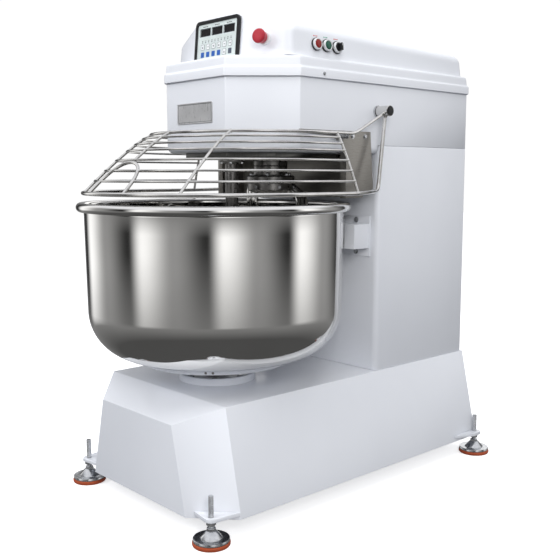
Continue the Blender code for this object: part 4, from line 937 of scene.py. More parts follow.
def hook_path():
    """The hook's centre line: a straight stay, a foot sweep, a spiral up, and the top arm."""
    drop = math.sqrt(HOOK_REACH**2 - (HOOK_FOOT_RADIUS - HOOK_SHIFT) ** 2)
    low_z = BOWL_LOW.z + CORNER - drop
    bend_z = low_z + 0.040
    high_z = 0.735
    stay_angle = math.radians(218.0)
    foot_turn = math.radians(80.0)
    spiral_turn = math.radians(450.0)
    heights = (HUB_LOW.z - 0.0003, 0.700, 0.600, 0.500, bend_z)
    points = [round_spindle(STAY_RADIUS, stay_angle, z) for z in heights]
    for step in range(1, 9):
        share = step / 8
        radius = STAY_RADIUS + (HOOK_FOOT_RADIUS - STAY_RADIUS) * share
        sink = math.sin(math.pi / 2 * min(1.0, 2.0 * share))
        z = bend_z + (low_z - bend_z) * sink
        points.append(round_spindle(radius, stay_angle + foot_turn * share, z))
    for step in range(1, 35):
        share = step / 34
        z = low_z + (high_z - low_z) * share
        angle = stay_angle + foot_turn + spiral_turn * share
        points.append(round_spindle(hook_radius(z), angle, z))
    for radius, extra, z in ((0.086, 12, 0.757), (0.076, 24, 0.775), (0.060, 34, 0.790)):
        angle = stay_angle + foot_turn + spiral_turn + math.radians(extra)
        points.append(round_spindle(radius, angle, z))
    return points


def hook():
    """The polished spiral, its stay and the arm that runs into the hub."""
    bm = bmesh.new()
    sweep(bm, smooth_path(hook_path(), 4), HOOK_ROD, 24)
    piece("spiral", bm, "polished", "hook_body", ["spiral_hook"], sharp=60.0)


def hub():
    """The hub flange, its bolts, and the spindle with its collar."""
    radius = HUB_HIGH.x - SPINDLE.x
    low, high = HUB_LOW.z, HUB_HIGH.z
    place = Matrix.Translation(SPINDLE)
    bm = bmesh.new()
    lathe(
        bm,
        [
            (0.0, high),
            (radius - 0.006, high),
            (radius - 0.002, high - 0.0012),
            (radius, high - 0.004),
            (radius, low + 0.022),
            (radius - 0.003, low + 0.019),
            (radius - 0.003, low + 0.003),
            (radius - 0.006, low),
            (0.0, low),
        ],
        place,
        80,
    )
    piece("hub", bm, "dark", "hook_body", ["hook_hub"])
    bm = bmesh.new()
    for group in range(6):
        point = SPINDLE + compass(60.0 * group + 10.0) * (radius - 0.010)
        point.z = high
        socket_head(bm, Matrix.Translation(point), 0.0050, 0.0060)
    for group in range(6):
        out = compass(60.0 * group + 40.0)
        point = SPINDLE + out * (radius - 0.0031)
        point.z = low + 0.0105
        socket_head(bm, facing(point, out), 0.0042, 0.0026)
    piece("hub_bolts", bm, "zinc", "hook_body")
    spindle_low, spindle_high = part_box("hook_spindle")
    collar = spindle_high.x
    tray_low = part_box("head_bottom_tray")[0].z
    collar_top = tray_low - 0.006
    step_z = 0.990
    bm = bmesh.new()
    lathe(
        bm,
        [
            (0.0, spindle_high.z),
            (0.019, spindle_high.z),
            (0.020, spindle_high.z - 0.001),
            (0.020, step_z),
            (0.030, step_z),
            (0.030, collar_top),
            (collar - 0.001, collar_top),
            (collar, collar_top - 0.001),
            (collar, collar_top - 0.012),
            (collar - 0.0012, collar_top - 0.0135),
            (collar, collar_top - 0.015),
            (collar, spindle_low.z + 0.0012),
            (collar - 0.0012, spindle_low.z),
            (0.0, spindle_low.z),
        ],
        place,
        64,
    )
    piece("spindle", bm, "dark", "hook_body", ["hook_spindle"])


def breaker():
    """The fixed bar beside the hook, with its bolted flange."""
    place, size = seat("breaker_bar")
    top = size.z
    radius, flange = 0.017, size.x / 2
    bm = bmesh.new()
    tip = arc((radius - 0.006, 0.006), 0.006, -90, 0, 6)
    profile = [(0.0, 0.0)] + tip + [(radius, top - 0.016), (radius + 0.004, top - 0.0115)]
    profile += [(flange - 0.001, top - 0.010), (flange, top - 0.009), (flange, top), (0.0, top)]
    lathe(bm, profile, place, 48)
    piece("breaker", bm, "dark", "machine", ["breaker_bar"])
    bm = bmesh.new()
    for group in range(4):
        point = compass(90.0 * group + 45.0) * 0.0265 + UP * (top - 0.010)
        hex_head(bm, place @ Matrix.Translation(point) @ UPSIDE_DOWN, 0.008, 0.004, 1.1)
    piece("breaker_bolts", bm, "zinc", "machine")


# Guard

TOP_RING = (0.269, BOWL_Y + 0.130, 0.931)
LOW_RING = (0.331, BOWL_Y, 0.784)
RING_SHARES = (0.12, 0.24, 0.36, 0.52, 0.68, 0.83)
RIB_ANGLE = 38.0


def guard_ring(share):
    """Radius, centre Y and height of the guard's ring at a share of the way down."""
    radius, centre = (a + (b - a) * share for a, b in zip(TOP_RING[:2], LOW_RING[:2]))
    return radius, centre, TOP_RING[2] + (LOW_RING[2] - TOP_RING[2]) * share**1.2


def rear_rib(side, share):
    """A point of the guard's rear rib."""
    reach = TOP_RING[0] + (LOW_RING[0] - TOP_RING[0]) * share
    return (side * reach, BOWL_Y + 0.167 + 0.013 * share, guard_ring(share)[2])


def ring_points(share, count):
    """A ring from the left rear rib round the front to the right rear rib."""
    radius, centre, z = guard_ring(share)
    points = [(x, y, z) for x, y in arc((0.0, centre), radius, 180, 360, count)]
    return [rear_rib(-1, share)] + points + [rear_rib(1, share)]


def rib_point(angle, share):
    """Where a rib at an angle from the front crosses the ring at a share."""
    radius, centre, z = guard_ring(share)
    turn = math.radians(angle)
    return (radius * math.sin(turn), centre - radius * math.cos(turn), z)


def top_rod():
    """The upper rod, with its arms up to the sleeves."""
    side_x, z = TOP_RING[0], TOP_RING[2]
    arm = [(side_x, PIVOT.y - 0.118, z), (0.272, PIVOT.y - 0.0105, PIVOT.z - 0.006)]
    straight = bend([ring_points(0.0, 1)[-1]] + arm, [0.018])[1:]
    mirrored_straight = [(-p[0], p[1], p[2]) for p in reversed([Vector(q) for q in straight])]
    return mirrored_straight + ring_points(0.0, 72)[1:-1] + straight


def low_rod():
    """The lower rod, with its bends and its arms up to the sleeves."""
    radius, centre, z = LOW_RING
    tail = [
        (radius, centre + 0.02, z),
        (radius, centre + 0.200, z),
        (0.285, PIVOT.y - 0.045, z + 0.004),
        (0.268, PIVOT.y - 0.002, PIVOT.z - 0.0115),
    ]
    right = bend(tail, [0.05, 0.022], 8)[1:]
    left = [Vector((-p.x, p.y, p.z)) for p in reversed(right)]
    return left + [(x, y, z) for x, y in arc((0.0, centre), radius, 180, 360, 96)] + right


def side_rib(side, share):
    """A point of one of the two ribs between the centre and the rear."""
    return rib_point(side * RIB_ANGLE, share)


def handle():
    """The arch at the guard's front, standing on the lower rod."""
    top_share, half_angle, steps = 0.56, 13.0, 32
    points = []
    for step in range(steps + 1):
        turn = math.pi * step / steps
        rise = math.sin(turn) ** 0.7
        share = 1.0 + (top_share - 1.0) * rise
        x, y, z = rib_point(-half_angle * math.cos(turn), share)
        points.append((x, y - 0.004 * rise, z))
    return points


def guard():
    """The welded wire guard, its sleeves and their end caps."""
    bm = bmesh.new()
    sweep(bm, low_rod(), 0.005, 14)
    sweep(bm, top_rod(), 0.004, 12)
    shares = (0.0, *RING_SHARES, 1.0)
    for share in RING_SHARES:
        sweep(bm, ring_points(share, 64), 0.003, 10)
    for side in (-1, 1):
        sweep(bm, smooth_path([side_rib(side, share) for share in shares]), 0.0035, 10)
    sweep(bm, smooth_path([rib_point(0.0, s) for s in shares if s < 0.6]), 0.0035, 10)
    for side in (-1, 1):
        sweep(bm, smooth_path([rear_rib(side, share) for share in shares]), 0.0035, 10)
    sweep(bm, handle(), 0.004, 12)
    for share in shares:
        size = 0.0052 if share in (0.0, 1.0) else 0.0044
        spots = [side_rib(-1, share), side_rib(1, share)]
        spots += [rear_rib(-1, share), rear_rib(1, share)]
        if share < 0.6:
            spots.append(rib_point(0.0, share))
        for spot in spots:
            blob(bm, spot, size)
    for side in (-1, 1):
        blob(bm, (side * 0.272, PIVOT.y - 0.0125, PIVOT.z - 0.0070), 0.0062)
        blob(bm, (side * 0.268, PIVOT.y - 0.002, PIVOT.z - 0.0125), 0.0068)
    piece("guard_wires", bm, "drawn", "guard", ["wire_guard"], sharp=60.0)
    start_x, end_x, sleeve, bore = 0.246, 0.285, 0.014, 0.0083
    bm = bmesh.new()
    for side in (-1, 1):
        place = facing((0.0, PIVOT.y, PIVOT.z), (side, 0.0, 0.0))
        lathe(
            bm,
            [
                (0.0, end_x - 0.0006),
                (sleeve - 0.003, end_x - 0.0006),
                (sleeve - 0.0008, end_x - 0.0009),
                (sleeve, end_x - 0.0020),
                (sleeve, start_x + 0.001),
                (sleeve - 0.001, start_x),
                (bore, start_x),
                (bore, end_x - 0.004),
                (0.0, end_x - 0.004),
            ],
            place,
            48,
        )
    piece("guard_sleeves", bm, "drawn", "guard")
    bm = bmesh.new()
    for side in (-1, 1):
        place = facing((0.0, PIVOT.y, PIVOT.z), (side, 0.0, 0.0))
        cap = [(0.0, end_x + 0.0002), (sleeve - 0.0022, end_x + 0.0002)]
        cap += [(sleeve - 0.0012, end_x - 0.0004), (sleeve - 0.0012, end_x - 0.0012)]
        lathe(bm, cap + [(0.0, end_x - 0.0012)], place, 40)
    piece("sleeve_caps", bm, "black", "guard")
    for side in ("left", "right"):
        dress(f"guard_pivot_pin_{side}", "zinc")


def sensor():
    """The threaded safety sensor on its foot, with a nut and a dark sensing face."""
    low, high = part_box("guard_sensor")
    axis_x = high.x - 0.0065
    centre = Vector((axis_x, (low.y + high.y) / 2, (low.z + high.z) / 2))
    here = facing(centre, (0.0, 1.0, 0.0))
    bm = bmesh.new()
    threaded(bm, here, 0.0060, 0.0004, 0.0011, -0.019, 0.014, 24)
    tip = [(0.0064, 0.0135), (0.0064, 0.0185), (0.0058, 0.0195), (0.0, 0.0195), (0.0, 0.0135)]
    lathe(bm, tip, here, 32)
    hex_nut(bm, here @ Matrix.Translation((0, 0, 0.0082)), 0.0125, 0.0035)
    hex_nut(bm, here @ Matrix.Translation((0, 0, -0.0118)), 0.0125, 0.0035)
    piece("sensor", bm, "zinc", "machine", ["guard_sensor"])
    bm = bmesh.new()
    face = [(0.0, 0.0200), (0.0050, 0.0200), (0.0054, 0.0196), (0.0054, 0.0190), (0.0, 0.0190)]
    lathe(bm, face, here, 32)
    piece("sensor_face", bm, "black", "machine")
    bm = bmesh.new()
    plate = 0.0015
    inner_x = 0.240 + 0.0036
    outline = [(inner_x, -0.008), (axis_x, -0.008), (axis_x, 0.008), (inner_x, 0.008)]
    prism(bm, outline, Matrix.Translation((0.0, centre.y, centre.z)), -0.010, -0.010 + plate)
    prism(bm, outline, Matrix.Translation((0.0, centre.y, centre.z)), 0.010 - plate, 0.010)
    back = [(inner_x, -0.008), (inner_x + plate, -0.008), (inner_x + plate, 0.008), (inner_x, 0.008)]
    prism(bm, back, Matrix.Translation((0.0, centre.y, centre.z)), -0.010, 0.010)
    piece("sensor_bracket", bm, "plate", "machine")


def hex_nut(bm, place, across, height):
    """A hexagon nut, solid because its bore is filled by a thread."""
    radius = across / math.sqrt(3)
    profile = [(0.0, 0.0), (radius * 0.92, 0.0), (radius, height * 0.12)]
    profile += [(radius, height * 0.88), (radius * 0.92, height), (0.0, height)]
    lathe(bm, profile, place, 6)


# Feet


def feet():
    """Levelling feet: threaded stud, lock nuts, faceted cone on a dished disc, rubber pad."""
    for end in ("front", "rear"):
        for side in ("left", "right"):
            name = f"{end}_{side}"
            place = seat(f"foot_stud_{name}")[0]
            ground = Matrix.Translation((place.translation.x, place.translation.y, 0.0))
            bracket_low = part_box(f"foot_bracket_{name}")[0]
            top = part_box(f"foot_stud_{name}")[1].z
            bm = bmesh.new()
            threaded(bm, ground, 0.0064, 0.0006, 0.0018, 0.040, top, 28, 8)
            piece(
                f"stud_{name}", bm, "zinc", "machine", [f"foot_stud_{name}"], sharp=60.0
            )
            bm = bmesh.new()
            boss = [(0.0, 0.0405), (0.0098, 0.0405), (0.0105, 0.0398), (0.0105, 0.034), (0.0, 0.034)]
            lathe(bm, boss, ground, 40)
            cone = [(0.0112, 0.0345), (0.0128, 0.0335), (0.0265, 0.0190), (0.0272, 0.0172)]
            lathe(bm, [(0.0, 0.0345)] + cone + [(0.0, 0.0172)], ground, 8)
            dish = [(0.0, 0.0176), (0.030, 0.0174), (0.0370, 0.0168), (0.0400, 0.0176)]
            dish += [(0.0416, 0.0172), (0.0422, 0.0160), (0.0422, 0.0112), (0.0416, 0.0104)]
            dish.append((0.0, 0.0104))
            lathe(bm, dish, ground, 72)
            piece(f"foot_{name}", bm, "zinc", "machine")
            bm = bmesh.new()
            nut = Matrix.Translation((0.0, 0.0, bracket_low.z - 0.0100))
            hex_nut(bm, ground @ nut, 0.0200, 0.0095)
            piece(f"lock_nut_{name}", bm, "zinc", "machine")
            pad_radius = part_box(f"foot_pad_{name}")[1].x - ground.translation.x
            bm = bmesh.new()
            pad = [(0.0, 0.0100), (0.0405, 0.0100), (0.0425, 0.0098), (pad_radius - 0.0004, 0.0086)]
            pad += [(pad_radius, 0.0070), (pad_radius - 0.0004, 0.0026), (pad_radius - 0.0018, 0.0006)]
            pad += [(pad_radius - 0.0035, 0.0), (0.030, 0.0), (0.029, 0.0008), (0.0, 0.0008)]
            lathe(bm, pad, ground, 72)
            piece(f"pad_{name}", bm, "rubber", "machine", [f"foot_pad_{name}"])


# Controls


def flat_marks(bm, place, marks, low, high):
    """Small printed shapes as thin raised prisms."""
    for outline in marks:
        prism(bm, outline, place, low, high)


def control_panel():
    """The panel's frame, its film with windows, and the keys, lamps and marks on it."""
    place, size = seat("control_panel_bezel", FRONT)
    half_x, half_y, depth = size.x / 2, size.y / 2, size.z
    frame_width = 0.009
    outer = rectangle(half_x, half_y, 0.014, 8)
    lowered = -frame_width / 2
    inner = rectangle(half_x - frame_width, half_y + lowered, 0.0065, 8, (0.0, lowered))
    top_outer = [p for p in outer if p[1] > 0.0]
    top_inner = [p for p in inner if p[1] > 0.0]
    arch = [(half_x, -half_y)] + top_outer + [(-half_x, -half_y), (-half_x + frame_width, -half_y)]
    arch += list(reversed(top_inner)) + [(half_x - frame_width, -half_y)]
    bm = bmesh.new()
    prism(bm, arch, place, 0.0, depth)
    piece(
        "panel_frame", bm, "black", "machine", ["control_panel_bezel"],
        bevel=(0.0016, 4),
    )
    refined("keypad_film", "film", 0.0003, 2)
    dress("display_module", "screen")
    face = seat("keypad_film", FRONT)
    surface = face[0].copy()
    surface.translation = place.translation
    rise = (surface.inverted() @ face[0].translation).z + face[1].z
    surface = surface @ Matrix.Translation((0.0, 0.0, rise))
    thin = 0.00025
    window_half_x, window_half_y, spacing = 0.0205, 0.009, 0.048
    window_y = half_y - frame_width - 0.012 - window_half_y
    frames, segments = [], []
    for column in (-1, 0, 1):
        x = column * spacing
        outline = rectangle(window_half_x + 0.0012, window_half_y + 0.0012, 0.001, 3, (x, window_y))
        hole = rectangle(window_half_x - 0.0001, window_half_y - 0.0001, 0.0006, 3, (x, window_y))
        frames.append((outline, hole))
        for digit in (-1, 0, 1):
            segments += digit_segments(x + digit * 0.0105, window_y, 0.0034, 0.0052, 0.0009)
    bm = bmesh.new()
    for outline, hole in frames:
        band(bm, surface, outline, hole, 0.0, thin)
    for lamp in range(10):
        x = (lamp - 4.5) * 0.0128
        spot = surface @ Matrix.Translation((x, -0.0050, 0.0))
        lathe(bm, [(0.0, thin), (0.00155, thin), (0.00155, 0.0), (0.0, 0.0)], spot, 16)
        prism(bm, rectangle(0.0026, 0.0005, 0.0002, 1, (x, -0.0012)), surface, 0.0, thin)
    for column in (-1, 0, 1):
        for mark, width in ((-1.2, 0.0030), (0.0, 0.0022), (1.1, 0.0026)):
            centre = (column * spacing + mark * 0.0058, 0.0345)
            prism(bm, rectangle(width, 0.0009, 0.0003, 1, centre), surface, 0.0, thin)
    piece("panel_marks", bm, "ink", "machine")
    bm = bmesh.new()
    module_place, module_size = seat("display_module", FRONT)
    module_top = (surface.inverted() @ module_place.translation).z + module_size.z
    flat_marks(bm, surface, segments, module_top, module_top + 0.0003)
    piece("display_digits", bm, "segment", "machine")
    key_x, upper_y, lower_y = 0.0222, -0.0172, -0.0362
    half_key = (0.0066, 0.0066)
    groups = {"white_key": [], "blue_key": [], "grey_key": []}
    for column in range(6):
        x = (column - 2.5) * key_x
        groups["white_key"].append(rectangle(*half_key, 0.0014, 3, (x, upper_y)))
        kind = "blue_key" if column < 4 else ("white_key" if column == 4 else "grey_key")
        groups[kind].append(rectangle(*half_key, 0.0014, 3, (x, lower_y)))
    for kind, outlines in groups.items():
        bm = bmesh.new()
        flat_marks(bm, surface, outlines, 0.0, 0.0005)
        piece(f"{kind}s", bm, kind, "machine", bevel=(0.00018, 2))
    bm = bmesh.new()
    white_keys = [((column - 2.5) * key_x, upper_y) for column in range(6)]
    white_keys.append((1.5 * key_x, lower_y))
    for number, (x, y) in enumerate(white_keys):
        edge = rectangle(half_key[0] + 0.0004, half_key[1] + 0.0004, 0.0018, 3, (x, y))
        hole = rectangle(half_key[0] - 0.0002, half_key[1] - 0.0002, 0.0012, 3, (x, y))
        band(bm, surface, edge, hole, 0.0, 0.0006)
        for mark in key_symbol(number, x, y):
            prism(bm, mark, surface, 0.0005, 0.0007)
    piece("key_outlines", bm, "ink", "machine")


def key_symbol(number, x, y):
    """A plain arrow, bar or square for a key."""
    size = 0.0024
    if number % 3 == 0:
        return [[(x - size, y - size), (x + size, y - size), (x, y + size)]]
    if number % 3 == 1:
        return [rectangle(size, size * 0.3, size * 0.1, 1, (x, y))]
    return [rectangle(size * 0.7, size * 0.7, size * 0.2, 2, (x, y))]


def digit_segments(x, y, half_width, half_height, width):
    """The seven bars of an unlit digit."""
    bars = []
    for rise in (-1, 0, 1):
        centre = (x, y + rise * half_height)
        bars.append(rectangle(half_width - width, width * 0.45, width * 0.2, 1, centre))
    for side in (-1, 1):
        for rise in (-0.5, 0.5):
            centre = (x + side * half_width, y + rise * half_height)
            bars.append(rectangle(width * 0.45, half_height / 2 - width * 0.7, width * 0.2, 1, centre))
    return bars


def e_stop():
    """The red mushroom button, a thick disc on a narrower body, over its pale collar."""
    place = seat("e_stop_collar", FACET)[0]
    bm = bmesh.new()
    collar = [(0.0105, 0.0056), (0.0152, 0.0056), (0.0162, 0.0048), (0.0165, 0.0034)]
    lathe(bm, collar + [(0.0165, 0.0), (0.0105, 0.0)], place, 56, loop=True)
    piece("stop_collar", bm, "white_ring", "machine", ["e_stop_collar"])
    bm = bmesh.new()
    crown = [(0.0, 0.0336), (0.006, 0.0335), (0.012, 0.0331), (0.0154, 0.0322), (0.0170, 0.0306)]
    crown += [(0.0175, 0.0284), (0.0171, 0.0260), (0.0158, 0.0244), (0.0147, 0.0234)]
    crown += [(0.0144, 0.0222), (0.0144, 0.0128), (0.0138, 0.0123), (0.0102, 0.0123)]
    crown += [(0.0100, 0.0070), (0.0, 0.0070)]
    lathe(bm, crown, place, 72)
    piece("stop_mushroom", bm, "red", "e_stop", ["e_stop_button"], sharp=50.0)


def bezel(bm, place):
    """The pale ring of a push button or selector."""
    ring = [(0.0108, 0.0106), (0.0116, 0.0112), (0.0130, 0.0110), (0.0138, 0.0100), (0.0140, 0.0048)]
    lathe(bm, ring + [(0.0106, 0.0048)], place, 56, loop=True)


def shadow_ring(bm, place):
    """Painted shadow: a black ring round a bezel's edge, where the bezel shades the panel."""
    shadow_ring_profile = [(0.0152, 0.0006), (0.0154, 0.0044), (0.0146, 0.0050), (0.0106, 0.0050), (0.0106, 0.0)]
    lathe(bm, shadow_ring_profile, place, 56, loop=True)


def buttons():
    """The stop and start buttons and the selector, each in its ring."""
    for name, look, slot in (
        ("stop_button", "red_lens", "red_plastic"),
        ("start_button", "green_lens", "green_plastic"),
        ("selector", "black", "black_plastic"),
    ):
        place = seat(f"{name}_bezel", RIGHT)[0]
        bm = bmesh.new()
        bezel(bm, place)
        piece(f"{name}_ring", bm, "white_ring", "machine", [f"{name}_bezel"])
        bm = bmesh.new()
        # painted shadow: a black ring round each bezel stands in for the shade at its edge
        shadow_ring(bm, place)
        piece(f"{name}_gasket", bm, "black", "machine")
        bm = bmesh.new()
        if name == "selector":
            disc = [(0.0, 0.0135), (0.0093, 0.0135), (0.0101, 0.0126), (0.0101, 0.0030), (0.0, 0.0030)]
            lathe(bm, disc, place, 48)
            grip = [(-0.0034, -0.0092), (0.0034, -0.0092), (0.0034, 0.0062), (0.0, 0.0096)]
            grip.append((-0.0034, 0.0062))
            prism(bm, grip, place, 0.0120, 0.0228)
            piece("selector_grip", bm, look, "selector", ["selector_knob"], bevel=(0.0008, 3))
            bm = bmesh.new()
            prism(bm, rectangle(0.0005, 0.0030, 0.0003, 2, (0.0, 0.0042)), place, 0.0227, 0.0230)
            piece("selector_line", bm, "white_ring", "selector")
            continue
        lens = [(0.0, 0.0126), (0.0040, 0.0125), (0.0080, 0.0120), (0.0096, 0.0112), (0.0102, 0.0100)]
        lathe(bm, lens + [(0.0102, 0.0045), (0.0, 0.0045)], place, 48)
        piece(f"{name}_lens", bm, look, name.split("_")[0], [name], sharp=50.0)
    for name, look in (("stop_button", "red_ink"), ("start_button", "green_ink"), ("selector", "red_ink")):
        place = seat(f"{name}_bezel", RIGHT)[0]
        bm = bmesh.new()
        for mark, width in ((-1, 0.0022), (0, 0.0014), (1, 0.0020)):
            outline = rectangle(width, 0.0010, 0.0003, 1, (mark * 0.0050, 0.0205))
            prism(bm, outline, place, -0.0004, 0.0002)
        piece(f"{name}_mark", bm, look, "machine")


# Rollers, gland, hidden drive and small fasteners


def rollers():
    """Two nylon rollers and the bolts of their bracket plates."""
    bolts = bmesh.new()
    for side in ("left", "right"):
        place, size = seat(f"guide_roller_{side}")
        radius, height, bore = size.x / 2, size.z, 0.0064
        round_off = 0.003
        profile = [(bore, 0.0), (radius - round_off, 0.0)]
        profile += arc((radius - round_off, round_off), round_off, -60, 0, 4)
        profile += arc((radius - round_off, height - round_off), round_off, 0, 60, 4)
        profile += [(radius - round_off, height), (bore, height)]
        bm = bmesh.new()
        lathe(bm, profile, place, 64, loop=True)
        piece(
            f"nylon_roller_{side}", bm, "nylon", f"roller_{side}", [f"guide_roller_{side}"]
        )
        low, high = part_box(f"roller_bracket_{side}")
        middle_x = (low.x + high.x) / 2
        for z in (low.z + 0.011, high.z - 0.011):
            point = (middle_x, high.y - 0.003, z)
            hex_head(bolts, facing(point, (0.0, -1.0, 0.0)), 0.010, 0.0045)
    piece("roller_plate_bolts", bolts, "zinc", "machine")


def cable_gland():
    """The screwed gland: hexagon, dome nut with grip ribs, and its bore."""
    place = seat("power_cable_gland", Vector((0.0, 1.0, 0.0)))[0]
    place = place @ Matrix.Translation((0.0, 0.0, 0.015))
    bm = bmesh.new()
    lathe(
        bm,
        [(0.0062, -0.0149), (0.0108, -0.0149), (0.0108, 0.0006), (0.0062, 0.0006)],
        place,
        32,
        loop=True,
    )
    lathe(
        bm,
        [
            (0.0062, 0.0004),
            (0.0168, 0.0004),
            (0.0170, 0.0010),
            (0.0170, 0.0068),
            (0.0164, 0.0074),
            (0.0062, 0.0074),
        ],
        place,
        6,
        loop=True,
    )
    ribs = [(0.0062, 0.0078), (0.0146, 0.0078), (0.0148, 0.0170), (0.0138, 0.0205), (0.0115, 0.0230)]
    lathe(bm, ribs + [(0.0092, 0.0238), (0.0062, 0.0236)], place, 32, loop=True)
    for step in range(12):
        turn = Matrix.Rotation(math.radians(30.0 * step), 4, "Z")
        prism(bm, rectangle(0.0010, 0.0009, 0.0004, 2, (0.0148, 0.0)), place @ turn, 0.0084, 0.0165)
    piece("gland", bm, "black", "machine", ["power_cable_gland"])


def hidden_drive():
    """The belts, pulleys, motors and bearing inside the housings keep their own shapes."""
    for node in (
        "bowl_pulley",
        "bowl_motor",
        "bowl_motor_pulley",
        "hook_pulley",
        "hook_motor",
        "hook_motor_pulley",
        "spindle_bearing_housing",
    ):
        dress(node, "iron")
    for node in ("bowl_belt", "hook_belt"):
        dress(node, "belt")


def cover_screws():
    """Screws that hold the cover's skirt, the side plates, the tray and the rear cover."""
    skirt_z = COVER_LOW.z + 0.0115
    bm = bmesh.new()
    for side in (-1, 1):
        point = (side * COVER_HIGH.x, BOWL_Y + 0.146, skirt_z)
        dome_head(bm, facing(point, (side, 0.0, 0.0)), 0.0046, 0.0024)
    for x in (-0.16, 0.16):
        point = (x, COVER_HIGH.y, skirt_z)
        dome_head(bm, facing(point, (0.0, 1.0, 0.0)), 0.0046, 0.0024)
    piece("skirt_screws", bm, "zinc", "machine")
    bm = bmesh.new()
    for side, name in ((-1, "left"), (1, "right")):
        low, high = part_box(f"side_plate_{name}")
        outer = high.x if side > 0 else low.x
        for y, z in ((0.253, 0.926), (0.300, 0.926)):
            point = (outer, BOWL_Y + y, z)
            hex_head(bm, facing(point, (side, 0.0, 0.0)), 0.008, 0.0038)
        for y, z in ((0.228, 0.800), (0.228, 0.860)):
            point = (outer, BOWL_Y + y, z)
            dome_head(bm, facing(point, (side, 0.0, 0.0)), 0.0042, 0.0020)
    piece("side_plate_bolts", bm, "zinc", "machine")
    bm = bmesh.new()
    tray_low, tray_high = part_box("head_bottom_tray")
    for x in (-0.135, 0.135):
        for y in (tray_low.y + 0.115, tray_high.y - 0.018):
            dome_head(bm, facing((x, y, tray_low.z), (0.0, 0.0, -1.0)), 0.0045, 0.0022)
    piece("tray_screws", bm, "zinc", "machine")
    bm = bmesh.new()
    cover_low, cover_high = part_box("rear_cover")
    for x in (cover_low.x + 0.014, cover_high.x - 0.014):
        for share in (0.02, 0.5, 0.98):
            z = cover_low.z + (cover_high.z - cover_low.z) * share
            dome_head(bm, facing((x, cover_high.y, z), (0.0, 1.0, 0.0)), 0.0045, 0.0024)
    piece("rear_cover_screws", bm, "zinc", "machine")


# Studio

CAMERA_PLACE = Vector((1.680, -1.536, 0.828))
CAMERA_TURN = (math.radians(82.75), 0.0, math.radians(47.4))
LENS = 53.0
BOX_COUNT = 5
WALL_GREY = (0.34, 0.34, 0.34)
FLAG_BLACK = (0.03, 0.03, 0.03)
BOX_WHITE = (1.2, 1.2, 1.2)
BLACK = (0.0, 0.0, 0.0)
WHITE = (1.0, 1.0, 1.0)
SKY_LOW = (0.40, 0.41, 0.43)
SKY_HIGH = (0.94, 0.96, 1.0)
FLOOR_DARK = (0.08, 0.08, 0.08)
FLOOR_LIGHT = (0.30, 0.30, 0.30)


def room_bands():
    """Equal white boxes evenly round a grey room, each with a black flag beside it."""
    bands = []
    for box in range(BOX_COUNT):
        for part, colour in ((0.0, WALL_GREY), (0.4, FLAG_BLACK), (0.6, BOX_WHITE)):
            bands.append(((box + part) / BOX_COUNT, colour))
    return bands


def studio_world():
    """An even pale surround for light and view, and a banded room for reflections."""
    world = bpy.data.worlds.new("studio")
    bpy.context.scene.world = world
    world.use_nodes = True
    tree = world.node_tree
    tree.nodes.clear()
    add, link = tree.nodes.new, tree.links.new
    where = add("ShaderNodeTexCoord")
    split = add("ShaderNodeSeparateXYZ")
    turned = add("ShaderNodeVectorRotate")
    turned.rotation_type = "Z_AXIS"
    turned.inputs["Angle"].default_value = -math.atan2(CAMERA_PLACE.y - BOWL_Y, CAMERA_PLACE.x)
    link(where.outputs["Generated"], turned.inputs["Vector"])
    link(turned.outputs["Vector"], split.inputs[0])
    around = add("ShaderNodeMath")
    around.operation = "ARCTAN2"
    link(split.outputs["Y"], around.inputs[0])
    link(split.outputs["X"], around.inputs[1])

    def share_of(value, low, high):
        """Where a value lies between two limits, from 0 to 1."""
        made = add("ShaderNodeMapRange")
        made.inputs["From Min"].default_value = low
        made.inputs["From Max"].default_value = high
        link(value, made.inputs["Value"])
        return made.outputs["Result"]

    def background(strength, colour=(1.0, 1.0, 1.0)):
        """One kind of surround."""
        made = add("ShaderNodeBackground")
        made.inputs["Color"].default_value = (*colour, 1.0)
        made.inputs["Strength"].default_value = strength
        return made

    def chosen(ray, other, wanted):
        """One surround for a kind of ray and another for the rest."""
        made = add("ShaderNodeMixShader")
        link(path.outputs[ray], made.inputs["Fac"])
        link(other.outputs[0], made.inputs[1])
        link(wanted.outputs[0], made.inputs[2])
        return made

    rise = share_of(split.outputs["Z"], -1.0, 1.0)
    bands = colour_ramp(tree, share_of(around.outputs[0], -math.pi, math.pi), room_bands(), "EASE")
    low_mix = add("ShaderNodeMix")
    low_mix.data_type = "RGBA"
    link(colour_ramp(tree, rise, [(0.36, BLACK), (0.44, WHITE)]), low_mix.inputs["Factor"])
    link(colour_ramp(tree, rise, [(0.20, FLOOR_DARK), (0.45, FLOOR_LIGHT)]), low_mix.inputs["A"])
    link(bands, low_mix.inputs["B"])
    high_mix = add("ShaderNodeMix")
    high_mix.data_type = "RGBA"
    link(colour_ramp(tree, rise, [(0.66, BLACK), (0.80, WHITE)]), high_mix.inputs["Factor"])
    link(low_mix.outputs["Result"], high_mix.inputs["A"])
    high_mix.inputs["B"].default_value = (0.95, 0.96, 1.0, 1.0)
    even = background(0.60)
    link(colour_ramp(tree, rise, [(0.44, SKY_LOW), (0.56, SKY_HIGH)]), even.inputs["Color"])
    room = background(1.0)
    link(high_mix.outputs["Result"], room.inputs["Color"])
    path = add("ShaderNodeLightPath")
    lit = chosen("Is Glossy Ray", even, room)
    output = add("ShaderNodeOutputWorld")
    link(chosen("Is Camera Ray", lit, background(1.02)).outputs[0], output.inputs["Surface"])


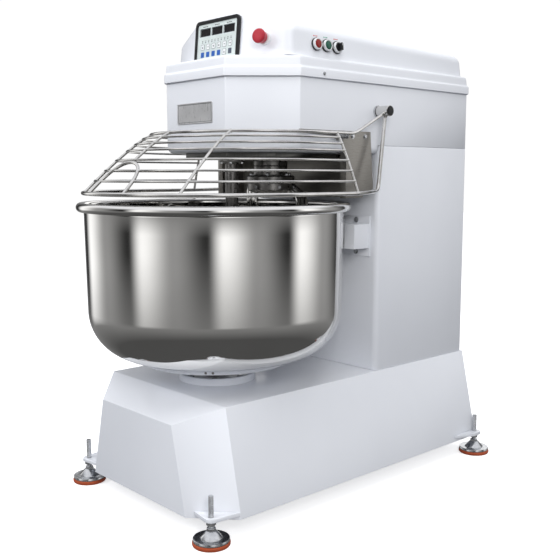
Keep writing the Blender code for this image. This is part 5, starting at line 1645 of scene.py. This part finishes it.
def floor():
    """A large pale floor that reflections don't show."""
    bm = bmesh.new()
    bmesh.ops.create_grid(bm, x_segments=1, y_segments=1, size=14.0)
    mesh = bpy.data.meshes.new("floor")
    bm.to_mesh(mesh)
    bm.free()
    made = bpy.data.objects.new("floor", mesh)
    bpy.context.scene.collection.objects.link(made)
    look = Look("floor_paint", (0.90, 0.90, 0.91), 0.8, emission_strength=0.60)
    look.shader.inputs["Emission Color"].default_value = (1.0, 1.0, 1.0, 1.0)
    look.tint(look.noise(0.6), [(0.3, (0.89, 0.89, 0.90)), (0.7, (0.92, 0.92, 0.93))])
    mesh.materials.append(look.material)
    made.visible_glossy = False
    made.visible_diffuse = False


def softbox(name, place, target, size, power, colour, glossy=True):
    """A rectangular light that faces a target."""
    data = bpy.data.lights.new(name, "AREA")
    data.shape = "RECTANGLE"
    data.size, data.size_y = size
    data.energy = power
    data.color = colour
    made = bpy.data.objects.new(name, data)
    bpy.context.scene.collection.objects.link(made)
    made.location = place
    aim = Vector(target) - Vector(place)
    made.rotation_euler = aim.to_track_quat("-Z", "Y").to_euler()
    made.visible_glossy = glossy
    return made


def lights():
    """A top softbox, a key from the camera's side and a fill from the front left."""
    middle = (0.0, 0.0, 0.6)
    softbox("top_light", (0.3, -0.5, 3.6), middle, (3.2, 3.2), 62.0, (1.0, 0.99, 0.97), False)
    softbox("key_light", (3.4, -2.2, 2.2), middle, (1.8, 1.8), 72.0, (1.0, 0.99, 0.97), False)
    softbox("fill_light", (-1.2, -4.5, 3.0), middle, (2.0, 2.0), 72.0, (0.97, 0.98, 1.0), False)


def camera():
    """The camera, where the machine is seen from its front right."""
    data = bpy.data.cameras.new("camera")
    data.lens = LENS
    data.sensor_width = 36.0
    made = bpy.data.objects.new("camera", data)
    bpy.context.scene.collection.objects.link(made)
    made.location = CAMERA_PLACE
    made.rotation_euler = CAMERA_TURN
    bpy.context.scene.camera = made


panels()
hood()
steel_sheets()
badge()
bowl()
bowl_support()
neck()
hook()
hub()
breaker()
guard()
sensor()
feet()
control_panel()
e_stop()
buttons()
rollers()
cable_gland()
hidden_drive()
cover_screws()
studio_world()
floor()
lights()
camera()
bpy.context.scene.view_settings.view_transform = "Standard"
